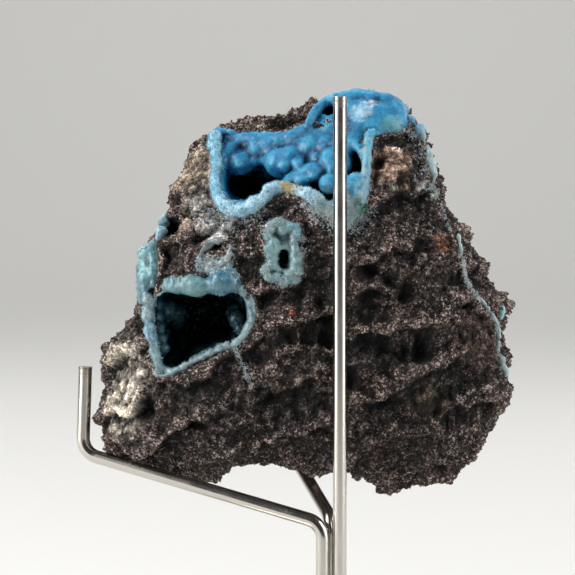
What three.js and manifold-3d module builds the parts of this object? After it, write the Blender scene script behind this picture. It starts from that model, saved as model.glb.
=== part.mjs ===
// Hemimorphite: a lump of brown rock whose hollows are lined with blue botryoidal crust,
// resting on a display stand bent from steel rod.
// Millimetres, +Z up. X runs to the viewer's right, Y runs away from the viewer.
// The origin is the middle of the stand's underside.

import * as THREE from 'three';
import { mergeVertices } from 'three/addons/utils/BufferGeometryUtils.js';
import Module from 'manifold-3d';

// Stand
const ROD_RADIUS = 1.5;
const ROD_QUARTER_SIDES = 2;
const ROD_STEP = 4.2;
const BEND_RADIUS = 3.4;
const BASE_RADIUS = 45;
const BASE_THICKNESS = 8;
const BASE_BEVEL = 0.8;
const BASE_SEGMENTS = 24;
const BOSS_RADIUS = 7.5;
const BOSS_TOP = 15;
const SOCKET_FLOOR = 3;
const SOCKET_SIDES = 8;
const STEM = { x: 4, y: -20 };
const STEM_HALF_PITCH = 1.85;
const STEM_BACK_PITCH = 2.9;
const POST_TOP = 131.5;
const LEFT_ARM_ROOT = 38.9;
const LEFT_HOOK = { x: -51.2, y: -2, z: 52.1 };
const LEFT_PRONG = { lean: 0.7, height: 19.3 };
const BACK_ARM_ROOT = 39.5;
const BACK_HOOK = { x: -8.2, y: 36.5, z: 53.5 };
const BACK_PRONG = { lean: -0.5, height: 18 };

// Gap between neighbouring pieces
const GAP = 0.3;

// Rock: where its middle is, how far it reaches to the front and to the back, and how boxy it is
const ROCK_CENTRE = new THREE.Vector3(-1.6, 6, 84.6);
const ROCK_FRONT = 23;
const ROCK_BACK = 28;
const ROCK_BOXINESS = 3.4;
const ROCK_DETAIL = 7;

// Outline of the whole stone as seen from the front, x and z, clockwise from the crown
const ROCK_OUTLINE = [
  [3.2, 132.1], [9.9, 133.7], [18.5, 131.9], [22.5, 127.2], [26.1, 121.8], [27.9, 114.1],
  [30.8, 105.1], [36.5, 97.9], [40.7, 88.8], [44.6, 83.9], [42.4, 78.0], [44.8, 66.3],
  [43.2, 61.5], [36.9, 50.5], [30.2, 45.8], [21.2, 42.6], [13.7, 42.8], [10.8, 46.2],
  [1.8, 47.3], [-14.6, 49.2], [-27.4, 46.0], [-41.8, 49.4], [-48.8, 52.8], [-48.1, 60.0],
  [-46.8, 72.1], [-45.0, 77.6], [-40.7, 81.2], [-38.7, 87.9], [-38.9, 94.3], [-31.0, 106.9],
  [-28.3, 118.4], [-25.9, 123.1], [-16.2, 126.5], [-8.3, 126.1], [-1.6, 128.5],
];

// Broken faces: each is a plane through a point, facing along its normal
const FACETS = [
  // Slope above the upper hollow
  { at: [-14, -12, 107.5], facing: [-0.3, -0.68, 0.67] },
  // Shoulder under the crown
  { at: [22, -10, 110], facing: [0.42, -0.82, 0.38] },
  // Left flank
  { at: [-40, -10, 80], facing: [-0.72, -0.62, 0.3] },
  // Underside at the front
  { at: [14, -17, 58], facing: [0.1, -0.66, -0.74] },
  // Back slope
  { at: [6, 31, 109], facing: [0.25, 0.7, 0.66] },
  // Back right flank
  { at: [34, 22, 76], facing: [0.72, 0.66, -0.1] },
  // Back left flank
  { at: [-34, 24, 72], facing: [-0.6, 0.76, 0.1] },
  // Underside at the back
  { at: [0, 30, 58], facing: [-0.15, 0.55, -0.82] },
];

// Ridges across the front face: ends as x and z, height above the face, and half width
const RIDGES = [
  { from: [9, 66], to: [37, 77], height: 2.4, width: 3.2 },
  { from: [25, 60], to: [41, 68], height: 2.2, width: 3.0 },
  { from: [9, 80.5], to: [32, 83.5], height: 1.8, width: 2.8 },
  { from: [-30, 62], to: [-8, 58], height: 1.6, width: 4.0 },
  { from: [-8, 88], to: [2, 72], height: 1.4, width: 3.5 },
  { from: [16.5, 117], to: [23, 116.5], height: 2.4, width: 4.2 },
];

// Broad waves all over the rock: height, wavelengths along X, Y and Z, and how far they bend each other
const WAVE_HEIGHT = 0.45;
const WAVE_LENGTH = new THREE.Vector3(17, 23, 14);
const WAVE_BEND = 1.6;

// Crusts: how far they stand proud of the rock at a rim, and how thick they are where they coat it
const RIM_PROUD = 0.5;
const CROWN_THICKNESS = 3;
const COLUMN_THICKNESS = 2.2;
const SEAM_DEPTH = 2.2;
const HOLLOW_DETAIL = 4;
const POCKET_DETAIL = 2;
const COAT_DETAIL = 2;
const LOBE_DETAIL = 1;

// A lobe sits no nearer to its hollow's edge than this share of the way out
const LOBE_EDGE = 0.98;

// How far a hollow's shape runs on in front of its mouth, and how square its floor is
const MOUTH_REACH = 45;
const HOLLOW_BOXINESS = 2.4;

// Upper hollow: rock mouth and crust mouth, x and z
const UPPER_CENTRE = new THREE.Vector3(-4, -3, 115.5);
const UPPER_DEPTH = 18;
const UPPER_SCOOP_DEPTH = 9;
const UPPER_MOUTH = [
  [-23.2, 123.0], [-16.0, 124.4], [-4.9, 124.2], [3.0, 126.0], [9.5, 123.5], [13.3, 117.6],
  [13.5, 112.1], [12.7, 107.7], [8.3, 101.7], [2.1, 103.1], [-1.6, 108.1], [-5.4, 110.1],
  [-8.9, 109.2], [-12.0, 105.3], [-16.8, 104.6], [-20.4, 107.0], [-22.3, 111.4],
];
const UPPER_OPENING = [
  [-19.0, 121.4], [-14.9, 123.0], [-4.9, 122.8], [2.0, 122.5], [8.4, 121.0], [11.2, 117.0],
  [11.1, 112.0], [8.2, 108.8], [1.2, 108.6], [-2.7, 111.0], [-6.7, 112.5], [-9.8, 111.7],
  [-12.0, 109.0], [-14.6, 107.7], [-17.5, 107.9], [-19.6, 111.0],
];
// Caves that run on into the rock from the foot of the upper hollow: where each is and its half sizes
const UPPER_CAVES = [
  { at: new THREE.Vector3(-14.2, 0, 112.0), size: new THREE.Vector3(5.2, 13, 4.2) },
  { at: new THREE.Vector3(9.9, -1, 117.0), size: new THREE.Vector3(1.7, 12, 3.9) },
];
// Rounded lobes on the upper hollow's back wall: x, z and radius
const UPPER_LOBES = [
  [-15.6, 117.0, 2.8], [-11.0, 120.2, 2.4], [-6.2, 117.0, 3.8], [-0.6, 119.4, 2.8],
  [0.6, 112.6, 2.8],
];

// Crown of crust above the upper hollow: where it is and its half sizes
const CROWN_CENTRE = new THREE.Vector3(10.5, 0, 128.5);
const CROWN_SIZE = new THREE.Vector3(11.8, 15, 8.3);
// Small hollow under the crown's thin arch
const ARCH_HOLLOW = { at: new THREE.Vector3(3.8, 5, 128.4), size: new THREE.Vector3(2.3, 9, 2.2) };

// Lower hollow
const LOWER_CENTRE = new THREE.Vector3(-25, -9, 82.5);
const LOWER_DEPTH = 21;
const LOWER_OPENING_DEPTH = 18.5;
const LOWER_MOUTH = [
  [-35.5, 88.0], [-28.9, 91.8], [-25.0, 92.6], [-22.0, 94.6], [-17.6, 94.6], [-13.7, 88.9],
  [-11.3, 85.9], [-11.9, 81.7], [-14.3, 77.3], [-18.5, 75.8], [-27.9, 71.2], [-32.0, 69.5],
  [-34.4, 71.0], [-36.1, 79.5], [-37.0, 83.9],
];
const LOWER_OPENING = [
  [-34.0, 87.6], [-30.0, 89.2], [-20.7, 89.4], [-16.3, 89.8], [-13.9, 84.8], [-14.6, 81.0],
  [-16.5, 78.2], [-23.5, 75.8], [-32.0, 71.4], [-33.7, 77.3], [-34.8, 82.5],
];
const LOWER_LOBES = [
  [-16.8, 82.6, 2.4], [-31.0, 82.0, 3.2],
];

// Column of crust on the left edge, above the lower hollow
const COLUMN_CENTRE = new THREE.Vector3(-38, -2, 93);
const COLUMN_SIZE = new THREE.Vector3(6.5, 12, 9);

// Small pocket in the middle of the face
const POCKET_CENTRE = new THREE.Vector3(-6.2, -15, 97);
const POCKET_DEPTH = 6.5;
const POCKET_OPENING_DEPTH = 4.7;
const POCKET_MOUTH = [
  [-9.8, 101.4], [-8.2, 103.6], [-5.0, 104.0], [-3.0, 102.4], [-2.8, 95.5],
  [-2.6, 92.6], [-5.0, 91.1], [-8.0, 91.3], [-9.8, 93.7],
];
const POCKET_OPENING = [
  [-7.4, 98.3], [-5.6, 98.5], [-4.5, 96.3], [-5.0, 94.4], [-6.9, 94.0], [-8.0, 95.9],
];

// Bare dents in the rock: where each is and its half sizes
const DENTS = [
  { at: new THREE.Vector3(-31, -6, 102.5), size: new THREE.Vector3(1.8, 6, 2.7) },
  { at: new THREE.Vector3(-21.4, -16, 99.1), size: new THREE.Vector3(2.1, 5, 1.2) },
];

// Seam of crust down the right edge: its run, x and z, its half width and the lumps on it
const SEAM_RUN = [
  [26.2, 116.0], [27.6, 111.8], [30.1, 105.1], [32.5, 98.4], [34.3, 92.8], [37.0, 87.9],
  [39.6, 82.6], [41.0, 79.0], [41.0, 75.4], [42.2, 70.9],
];
const SEAM_HALF_WIDTH = 0.7;
const SEAM_SAMPLES = 8;
const SEAM_FRONT = -30;
const SEAM_BACK = 4;
const SEAM_LUMPS = [
  { at: new THREE.Vector3(42.0, 2.5, 82.6), radius: 2.6 },
  { at: new THREE.Vector3(42.6, -0.5, 73.2), radius: 1.7 },
];

const wasm = await Module();
wasm.setup();

// Turns a closed geometry into a solid that can be joined and cut.
function solidOf(geometry) {
  geometry.deleteAttribute('normal');
  geometry.deleteAttribute('uv');
  const merged = mergeVertices(geometry);
  return new wasm.Manifold(new wasm.Mesh({
    numProp: 3,
    vertProperties: new Float32Array(merged.attributes.position.array),
    triVerts: new Uint32Array(merged.index.array),
  }));
}

function geometryOf(solid) {
  const mesh = solid.getMesh();
  const geometry = new THREE.BufferGeometry();
  geometry.setAttribute('position', new THREE.BufferAttribute(mesh.vertProperties, 3));
  geometry.setIndex(new THREE.BufferAttribute(mesh.triVerts, 1));
  geometry.computeVertexNormals();
  return geometry;
}

// A closed lump round a centre, given how far it reaches in each direction.
function lump(centre, reach, detail) {
  const geometry = new THREE.IcosahedronGeometry(1, detail);
  const points = geometry.attributes.position;
  const direction = new THREE.Vector3();
  for (let i = 0; i < points.count; i += 1) {
    direction.fromBufferAttribute(points, i).normalize();
    const tip = direction.clone().multiplyScalar(reach(direction)).add(centre);
    points.setXYZ(i, tip.x, tip.y, tip.z);
  }
  return solidOf(geometry);
}

function ellipsoid(centre, size, detail) {
  return lump(centre, (d) => 1 / Math.hypot(d.x / size.x, d.y / size.y, d.z / size.z), detail);
}

function ball(centre, radius) {
  return lump(centre, () => radius, LOBE_DETAIL);
}

// Radius of a closed smooth outline round a centre, as a function of the angle in the x-z plane.
function outlineRadius(outline, centre) {
  const OUTLINE_SAMPLES = 480;
  const corners = outline.map(([x, z]) => new THREE.Vector3(x - centre.x, 0, z - centre.z));
  const curve = new THREE.CatmullRomCurve3(corners, true);
  const samples = curve.getPoints(OUTLINE_SAMPLES).map((p) => [Math.atan2(p.z, p.x), Math.hypot(p.x, p.z)]);
  samples.sort((a, b) => a[0] - b[0]);
  const turn = 2 * Math.PI;
  const first = samples[0];
  const last = samples[samples.length - 1];
  const ring = [[last[0] - turn, last[1]], ...samples, [first[0] + turn, first[1]]];
  return (angle) => {
    const next = ring.findIndex((sample) => sample[0] >= angle);
    const [a, b] = [ring[Math.max(next - 1, 0)], ring[next]];
    const share = b[0] > a[0] ? (angle - a[0]) / (b[0] - a[0]) : 0;
    return THREE.MathUtils.lerp(a[1], b[1], share);
  };
}

// How far a rounded box reaches along a direction, given its reach across and along Y.
function boxyReach(direction, across, along, boxiness) {
  const side = Math.hypot(direction.x, direction.z) / across;
  const depth = Math.abs(direction.y) / along;
  return (side ** boxiness + depth ** boxiness) ** (-1 / boxiness);
}

const rockRadius = outlineRadius(ROCK_OUTLINE, ROCK_CENTRE);
const facetPlanes = FACETS.map(({ at, facing }) => {
  const normal = new THREE.Vector3(...facing).normalize();
  return { normal, distance: normal.dot(new THREE.Vector3(...at).sub(ROCK_CENTRE)) };
});

function ridgeLift(point) {
  let lift = 0;
  for (const ridge of RIDGES) {
    const from = new THREE.Vector3(ridge.from[0], 0, ridge.from[1]);
    const to = new THREE.Vector3(ridge.to[0], 0, ridge.to[1]);
    const onFace = new THREE.Vector3(point.x, 0, point.z);
    const nearest = new THREE.Line3(from, to).closestPointToPoint(onFace, true, new THREE.Vector3());
    lift += ridge.height * Math.exp(-((nearest.distanceTo(onFace) / ridge.width) ** 2));
  }
  return lift;
}

function wave(point) {
  const phase = point.clone().divide(WAVE_LENGTH).multiplyScalar(2 * Math.PI);
  const across = Math.sin(phase.x + WAVE_BEND * Math.sin(phase.z));
  const along = Math.sin(phase.y + WAVE_BEND * Math.sin(phase.x));
  const up = Math.sin(phase.z + WAVE_BEND * Math.sin(phase.y));
  return WAVE_HEIGHT * (across + along + up);
}

// The whole stone, rock and crust together, grown or shrunk by an allowance.
function stone(allowance) {
  const reach = (direction) => {
    const across = rockRadius(Math.atan2(direction.z, direction.x));
    const along = direction.y < 0 ? ROCK_FRONT : ROCK_BACK;
    let length = boxyReach(direction, across, along, ROCK_BOXINESS);
    for (const plane of facetPlanes) {
      const towards = plane.normal.dot(direction);
      if (towards > 0) {
        length = Math.min(length, plane.distance / towards);
      }
    }
    const point = direction.clone().multiplyScalar(length).add(ROCK_CENTRE);
    const facingFront = Math.max(0, -direction.y);
    const inside = Math.abs(direction.y);
    return length + allowance + facingFront * ridgeLift(point) + inside * wave(point);
  };
  return lump(ROCK_CENTRE, reach, ROCK_DETAIL);
}

// A hollow that opens to the front: mouth outline, depth behind its centre, and an allowance all round.
function hollow(centre, mouth, depth, allowance, detail = HOLLOW_DETAIL) {
  const radius = outlineRadius(mouth, centre);
  const reach = (direction) => {
    const across = radius(Math.atan2(direction.z, direction.x)) + allowance;
    const along = direction.y > 0 ? depth + allowance : MOUTH_REACH;
    return boxyReach(direction, across, along, HOLLOW_BOXINESS);
  };
  return lump(centre, reach, detail);
}

// Lobes that stand half out of a hollow's back wall.
function lobesOn(centre, mouth, depth, lobes) {
  const radius = outlineRadius(mouth, centre);
  return lobes.map(([x, z, size]) => {
    const across = Math.hypot(x - centre.x, z - centre.z) / radius(Math.atan2(z - centre.z, x - centre.x));
    const inward = (1 - Math.min(across, LOBE_EDGE) ** HOLLOW_BOXINESS) ** (1 / HOLLOW_BOXINESS);
    return ball(new THREE.Vector3(x, centre.y + depth * inward, z), size);
  });
}

function joinAll(solids) {
  return solids.reduce((whole, piece) => whole.add(piece));
}

function cutAll(whole, cutters) {
  return cutters.reduce((left, cutter) => left.subtract(cutter), whole);
}

// A rod along straight runs with rounded bends, grown by an allowance.
function rod(corners, allowance) {
  const path = new THREE.CurvePath();
  let from = corners[0];
  corners.slice(1, -1).forEach((corner, i) => {
    const before = corners[i].clone().sub(corner).setLength(BEND_RADIUS).add(corner);
    const after = corners[i + 2].clone().sub(corner).setLength(BEND_RADIUS).add(corner);
    path.add(new THREE.LineCurve3(from, before));
    path.add(new THREE.QuadraticBezierCurve3(before, corner, after));
    from = after;
  });
  path.add(new THREE.LineCurve3(from, corners[corners.length - 1]));
  const section = new THREE.Shape().absarc(0, 0, ROD_RADIUS + allowance, 0, 2 * Math.PI);
  const bent = corners.length > 2;
  return solidOf(new THREE.ExtrudeGeometry(section, {
    steps: bent ? Math.ceil(path.getLength() / ROD_STEP) : 1,
    curveSegments: 2 * ROD_QUARTER_SIDES,
    extrudePath: path,
  }));
}

// Stand rods: the corners that each one's centre line runs through
const rodFoot = SOCKET_FLOOR + GAP;
const postAt = [STEM.x + STEM_HALF_PITCH, STEM.y];
const leftAt = [STEM.x - STEM_HALF_PITCH, STEM.y];
const backAt = [STEM.x, STEM.y + STEM_BACK_PITCH];
const postCorners = [
  new THREE.Vector3(...postAt, rodFoot),
  new THREE.Vector3(...postAt, POST_TOP),
];
const leftCorners = [
  new THREE.Vector3(...leftAt, rodFoot),
  new THREE.Vector3(...leftAt, LEFT_ARM_ROOT),
  new THREE.Vector3(LEFT_HOOK.x, LEFT_HOOK.y, LEFT_HOOK.z),
  new THREE.Vector3(LEFT_HOOK.x + LEFT_PRONG.lean, LEFT_HOOK.y, LEFT_HOOK.z + LEFT_PRONG.height),
];
const backCorners = [
  new THREE.Vector3(...backAt, rodFoot),
  new THREE.Vector3(...backAt, BACK_ARM_ROOT),
  new THREE.Vector3(BACK_HOOK.x, BACK_HOOK.y, BACK_HOOK.z),
  new THREE.Vector3(BACK_HOOK.x, BACK_HOOK.y + BACK_PRONG.lean, BACK_HOOK.z + BACK_PRONG.height),
];
const rodRuns = [postCorners, leftCorners, backCorners];
const rodClearance = rodRuns.map((corners) => rod(corners, GAP));

// Round foot with a short boss that holds the three rods
function base() {
  const profile = new THREE.Path([new THREE.Vector2(0, 0)]);
  profile.lineTo(BASE_RADIUS - BASE_BEVEL, 0);
  profile.lineTo(BASE_RADIUS, BASE_BEVEL);
  profile.lineTo(BASE_RADIUS, BASE_THICKNESS - BASE_BEVEL);
  profile.lineTo(BASE_RADIUS - BASE_BEVEL, BASE_THICKNESS);
  profile.lineTo(0, BASE_THICKNESS);
  const plate = new THREE.LatheGeometry(profile.getPoints(1), BASE_SEGMENTS);
  plate.rotateX(Math.PI / 2);
  const bossDepth = BOSS_TOP - SOCKET_FLOOR;
  const boss = new THREE.CylinderGeometry(BOSS_RADIUS - BASE_BEVEL, BOSS_RADIUS, bossDepth, BASE_SEGMENTS);
  boss.rotateX(Math.PI / 2);
  boss.translate(STEM.x, STEM.y + STEM_BACK_PITCH / 3, SOCKET_FLOOR + bossDepth / 2);
  const sockets = [postAt, leftAt, backAt].map(([x, y]) => {
    const socket = new THREE.CylinderGeometry(ROD_RADIUS + GAP, ROD_RADIUS + GAP, BOSS_TOP, SOCKET_SIDES);
    socket.rotateX(Math.PI / 2);
    socket.translate(x, y, SOCKET_FLOOR + BOSS_TOP / 2);
    return solidOf(socket);
  });
  return cutAll(solidOf(plate).add(solidOf(boss)), sockets);
}

// Crust that fills a hollow in the rock, flush with the rock or a little proud of it
function filling(centre, mouth, depth, detail = HOLLOW_DETAIL) {
  return hollow(centre, mouth, depth, -GAP, detail).intersect(stone(RIM_PROUD));
}

// Crust that coats the rock's outside within a patch
function coat(centre, size, thickness) {
  return ellipsoid(centre, size, COAT_DETAIL).intersect(stone(0)).subtract(stone(-thickness));
}

// Room that such a coat takes out of the rock
function coatRoom(centre, size, thickness) {
  const roomy = size.clone().addScalar(GAP);
  return ellipsoid(centre, roomy, COAT_DETAIL).subtract(stone(-thickness - GAP));
}

// Ribbon that follows the seam's run through the rock's skin
function seamRibbon(halfWidth) {
  const run = new THREE.SplineCurve(SEAM_RUN.map(([x, z]) => new THREE.Vector2(x, z)));
  const edges = [[], []];
  for (let i = 0; i <= SEAM_SAMPLES; i += 1) {
    const along = run.getTangent(i / SEAM_SAMPLES);
    const across = new THREE.Vector2(-along.y, along.x).multiplyScalar(halfWidth);
    const middle = run.getPoint(i / SEAM_SAMPLES);
    edges[0].push(middle.clone().add(across));
    edges[1].unshift(middle.clone().sub(across));
  }
  const ribbon = new THREE.ExtrudeGeometry(new THREE.Shape(edges.flat()), {
    depth: SEAM_BACK - SEAM_FRONT,
    bevelEnabled: false,
  });
  ribbon.rotateX(Math.PI / 2);
  ribbon.translate(0, SEAM_BACK, 0);
  return solidOf(ribbon);
}

function upperCrust() {
  const mass = filling(UPPER_CENTRE, UPPER_MOUTH, UPPER_DEPTH);
  const crown = coat(CROWN_CENTRE, CROWN_SIZE, CROWN_THICKNESS);
  const scoop = hollow(UPPER_CENTRE, UPPER_OPENING, UPPER_SCOOP_DEPTH, 0);
  const lobes = joinAll(lobesOn(UPPER_CENTRE, UPPER_OPENING, UPPER_SCOOP_DEPTH, UPPER_LOBES));
  const caves = [...UPPER_CAVES, ARCH_HOLLOW].map(({ at, size }) => ellipsoid(at, size, LOBE_DETAIL));
  return cutAll(mass.add(crown).subtract(scoop).add(lobes.intersect(mass)), caves);
}

function lowerCrust() {
  const mass = filling(LOWER_CENTRE, LOWER_MOUTH, LOWER_DEPTH);
  const column = coat(COLUMN_CENTRE, COLUMN_SIZE, COLUMN_THICKNESS);
  const inside = hollow(LOWER_CENTRE, LOWER_OPENING, LOWER_OPENING_DEPTH, 0);
  const lobes = joinAll(lobesOn(LOWER_CENTRE, LOWER_OPENING, LOWER_OPENING_DEPTH, LOWER_LOBES));
  return mass.add(column).subtract(inside).add(lobes.intersect(mass));
}

function pocketCrust() {
  const inside = hollow(POCKET_CENTRE, POCKET_OPENING, POCKET_OPENING_DEPTH, 0, POCKET_DETAIL);
  return filling(POCKET_CENTRE, POCKET_MOUTH, POCKET_DEPTH, POCKET_DETAIL).subtract(inside);
}

function edgeCrust() {
  const skin = seamRibbon(SEAM_HALF_WIDTH).intersect(stone(RIM_PROUD)).subtract(stone(-SEAM_DEPTH));
  return joinAll([skin, ...SEAM_LUMPS.map(({ at, radius }) => ball(at, radius))]);
}

function matrix() {
  const lumpRooms = SEAM_LUMPS.map(({ at, radius }) => ball(at, radius + GAP));
  return cutAll(stone(0), [
    hollow(UPPER_CENTRE, UPPER_MOUTH, UPPER_DEPTH, 0),
    hollow(LOWER_CENTRE, LOWER_MOUTH, LOWER_DEPTH, 0),
    hollow(POCKET_CENTRE, POCKET_MOUTH, POCKET_DEPTH, 0, POCKET_DETAIL),
    coatRoom(CROWN_CENTRE, CROWN_SIZE, CROWN_THICKNESS),
    coatRoom(COLUMN_CENTRE, COLUMN_SIZE, COLUMN_THICKNESS),
    seamRibbon(SEAM_HALF_WIDTH + GAP).subtract(stone(-SEAM_DEPTH - GAP)),
    ...lumpRooms,
    ...[...DENTS, ARCH_HOLLOW].map(({ at, size }) => ellipsoid(at, size, LOBE_DETAIL)),
    ...rodClearance,
  ]);
}

const object = new THREE.Group();

function place(name, solid, colour, roughness, metalness) {
  const material = new THREE.MeshStandardMaterial({ color: colour, roughness, metalness });
  const mesh = new THREE.Mesh(geometryOf(solid), material);
  mesh.name = name;
  object.add(mesh);
}

place('matrix', matrix(), 0x54463f, 0.9, 0);
place('upper_crust', cutAll(upperCrust(), rodClearance), 0x3f9bd0, 0.35, 0);
place('lower_crust', cutAll(lowerCrust(), rodClearance), 0x7fb9c6, 0.4, 0);
place('pocket_crust', pocketCrust(), 0xa3c3c8, 0.45, 0);
place('edge_crust', edgeCrust(), 0x7fc8d6, 0.4, 0);
place('post', rod(postCorners, 0), 0xb9b4ac, 0.32, 1);
place('left_arm', rod(leftCorners, 0), 0xb9b4ac, 0.32, 1);
place('back_arm', rod(backCorners, 0), 0xb9b4ac, 0.32, 1);
place('base', base(), 0xb9b4ac, 0.35, 1);

export default object;
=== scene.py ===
# Hemimorphite: brown matrix rock whose hollows are lined with blue botryoidal crust, resting on a stand
# bent from steel rod. Metres, +Z up, X to the viewer's right, Y away from the viewer.
import math
import random

import bmesh
import bpy
import numpy
from bpy.props import FloatProperty, FloatVectorProperty, IntProperty, PointerProperty
from bpy.types import Operator, Panel, PropertyGroup
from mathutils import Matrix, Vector
from mathutils.bvhtree import BVHTree


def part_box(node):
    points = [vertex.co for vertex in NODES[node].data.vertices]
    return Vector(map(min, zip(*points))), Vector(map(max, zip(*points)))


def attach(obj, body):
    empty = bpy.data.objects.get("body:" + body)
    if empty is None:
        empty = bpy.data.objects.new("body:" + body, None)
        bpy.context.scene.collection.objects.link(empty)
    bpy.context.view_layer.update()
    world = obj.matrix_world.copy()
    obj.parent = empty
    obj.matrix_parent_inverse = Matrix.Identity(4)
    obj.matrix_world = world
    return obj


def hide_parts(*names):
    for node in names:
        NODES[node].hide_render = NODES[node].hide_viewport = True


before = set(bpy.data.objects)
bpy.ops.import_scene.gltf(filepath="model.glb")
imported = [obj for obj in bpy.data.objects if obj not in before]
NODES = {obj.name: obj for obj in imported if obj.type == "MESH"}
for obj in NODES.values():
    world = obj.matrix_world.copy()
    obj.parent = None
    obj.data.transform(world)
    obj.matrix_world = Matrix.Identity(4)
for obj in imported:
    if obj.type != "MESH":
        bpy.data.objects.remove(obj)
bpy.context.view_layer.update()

bl_info = {
    "name": "Hemimorphite on a rod stand",
    "version": (1, 0, 0),
    "blender": (4, 5, 0),
    "location": "3D View > Sidebar > Hemimorphite",
    "description": "Builds the rock, its blue crusts, the rod stand and the studio round the packed model",
    "category": "Object",
}

CRUST_NODES = ("upper_crust", "lower_crust", "pocket_crust", "edge_crust")
CRUST_PIECES = ("azure_crust", "teal_crust", "teal_lumps", "pocket_lining", "edge_seam")
MM = 0.001

# Line of sight: everything placed from the tables below is given in millimetres across and up on the plane
# through the target, square to the camera, and sits where that line of sight meets the stone.
TARGET = Vector((-5.5, 6.0, 88.5)) * MM
SIGHT_DISTANCE = 650 * MM
SIGHT_ELEVATION = math.radians(4)
SIGHT_WIDTH = 129.4 * MM
SIGHT_UP = Vector((0, math.sin(SIGHT_ELEVATION), math.cos(SIGHT_ELEVATION)))
EYE = TARGET + SIGHT_DISTANCE * Vector((0, -math.cos(SIGHT_ELEVATION), math.sin(SIGHT_ELEVATION)))

# Stand: where each rod stands on the foot, and the corners that its centre line runs through
STEM = Vector((4, -20, 0)) * MM
STEM_HALF_PITCH = 1.85 * MM
STEM_BACK_PITCH = 2.9 * MM
LEFT_ARM_ROOT = 38.9 * MM
LEFT_HOOK = Vector((-51.2, -2, 52.1)) * MM
LEFT_PRONG = Vector((0.7, 0, 19.3)) * MM
BACK_ARM_ROOT = 39.5 * MM
BACK_HOOK = Vector((-8.2, 36.5, 53.5)) * MM
BACK_PRONG = Vector((0, -0.5, 18)) * MM
ROD_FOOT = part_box("post")[0].z
POST_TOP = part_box("post")[1].z
FOOT_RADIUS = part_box("base")[1].x
BOSS_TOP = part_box("base")[1].z
SHARP_ANGLE = math.radians(35)

# Vertices of a mesh that lie closer than this are one
WELD = 1e-6

# Painted deep shade, for the backs of the hollows and other places that never see light
CAVE_SHADE = "#050d14"


def linear(hex_colour):
    """Linear RGBA of an sRGB hex colour."""
    channels = [int(hex_colour[i:i + 2], 16) / 255 for i in (1, 3, 5)]
    return tuple(c / 12.92 if c <= 0.04045 else ((c + 0.055) / 1.055) ** 2.4 for c in channels) + (1.0,)


def length(label, words, millimetres):
    """A length property, given in millimetres and kept in metres."""
    return FloatProperty(name=label, description=words, default=millimetres * MM, min=0.0,
                         unit="LENGTH", precision=5)


def tint(label, words, hex_colour):
    """A colour property, given as sRGB hex and kept linear."""
    return FloatVectorProperty(name=label, description=words, default=linear(hex_colour), size=4,
                               min=0.0, max=1.0, subtype="COLOR")


def power(label, words, watts):
    """A light's power."""
    return FloatProperty(name=label, description=words, default=watts, min=0.0, unit="POWER")


class RockSettings(PropertyGroup):
    """Relief and colours of the matrix rock."""
    voxel: length("Voxel", "Edge of the rock's mesh cells", 0.6)
    closing: length("Closing", "How far the rock grows to close on the crusts", 0.6)
    lump_size: length("Lump Size", "Width of the rock's broad lumps", 13)
    lump_height: length("Lump Height", "Height of the rock's broad lumps", 1.0)
    ledge_size: length("Ledge Size", "Spacing of the slanting ledges", 10)
    ledge_height: length("Ledge Height", "Height of the slanting ledges", 2.1)
    clod_size: length("Clod Size", "Width of the broken clods", 3.0)
    clod_height: length("Clod Height", "Height of the broken clods", 0.85)
    grit_size: length("Grit Size", "Width of the grit on the broken face", 1.2)
    grit_height: length("Grit Height", "Height of the grit on the broken face", 0.62)
    dip_reach: length("Dip Reach", "Half width of the shaded recesses", 3.6)
    dip_depth: length("Dip Depth", "Depth of the shaded recesses", 2.5)
    crust_fade: length("Crust Fade", "Distance from a crust over which the relief dies away", 1.3)
    rod_clearance: length("Rod Clearance", "Nearest that the rock comes to a rod's centre line", 1.6)
    grain_size: length("Grain Size", "Width of the loose-looking grains", 0.52)
    grain_density: FloatProperty(name="Grain Density", default=1.7e6, min=0.0,
                                 description="Grains on each square metre of rock")
    grain_seed: IntProperty(name="Grain Seed", description="Seed of the grains' places", default=5)
    black: tint("Black", "Manganese-stained pits", "#0b0807")
    dark: tint("Dark Brown", "Iron-stained rock", "#1b1512")
    brown: tint("Brown", "Main colour of the rock", "#3c302b")
    tan: tint("Tan", "Sandy grains", "#847670")
    pale: tint("Pale", "Pale grains", "#b8aea8")


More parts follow.
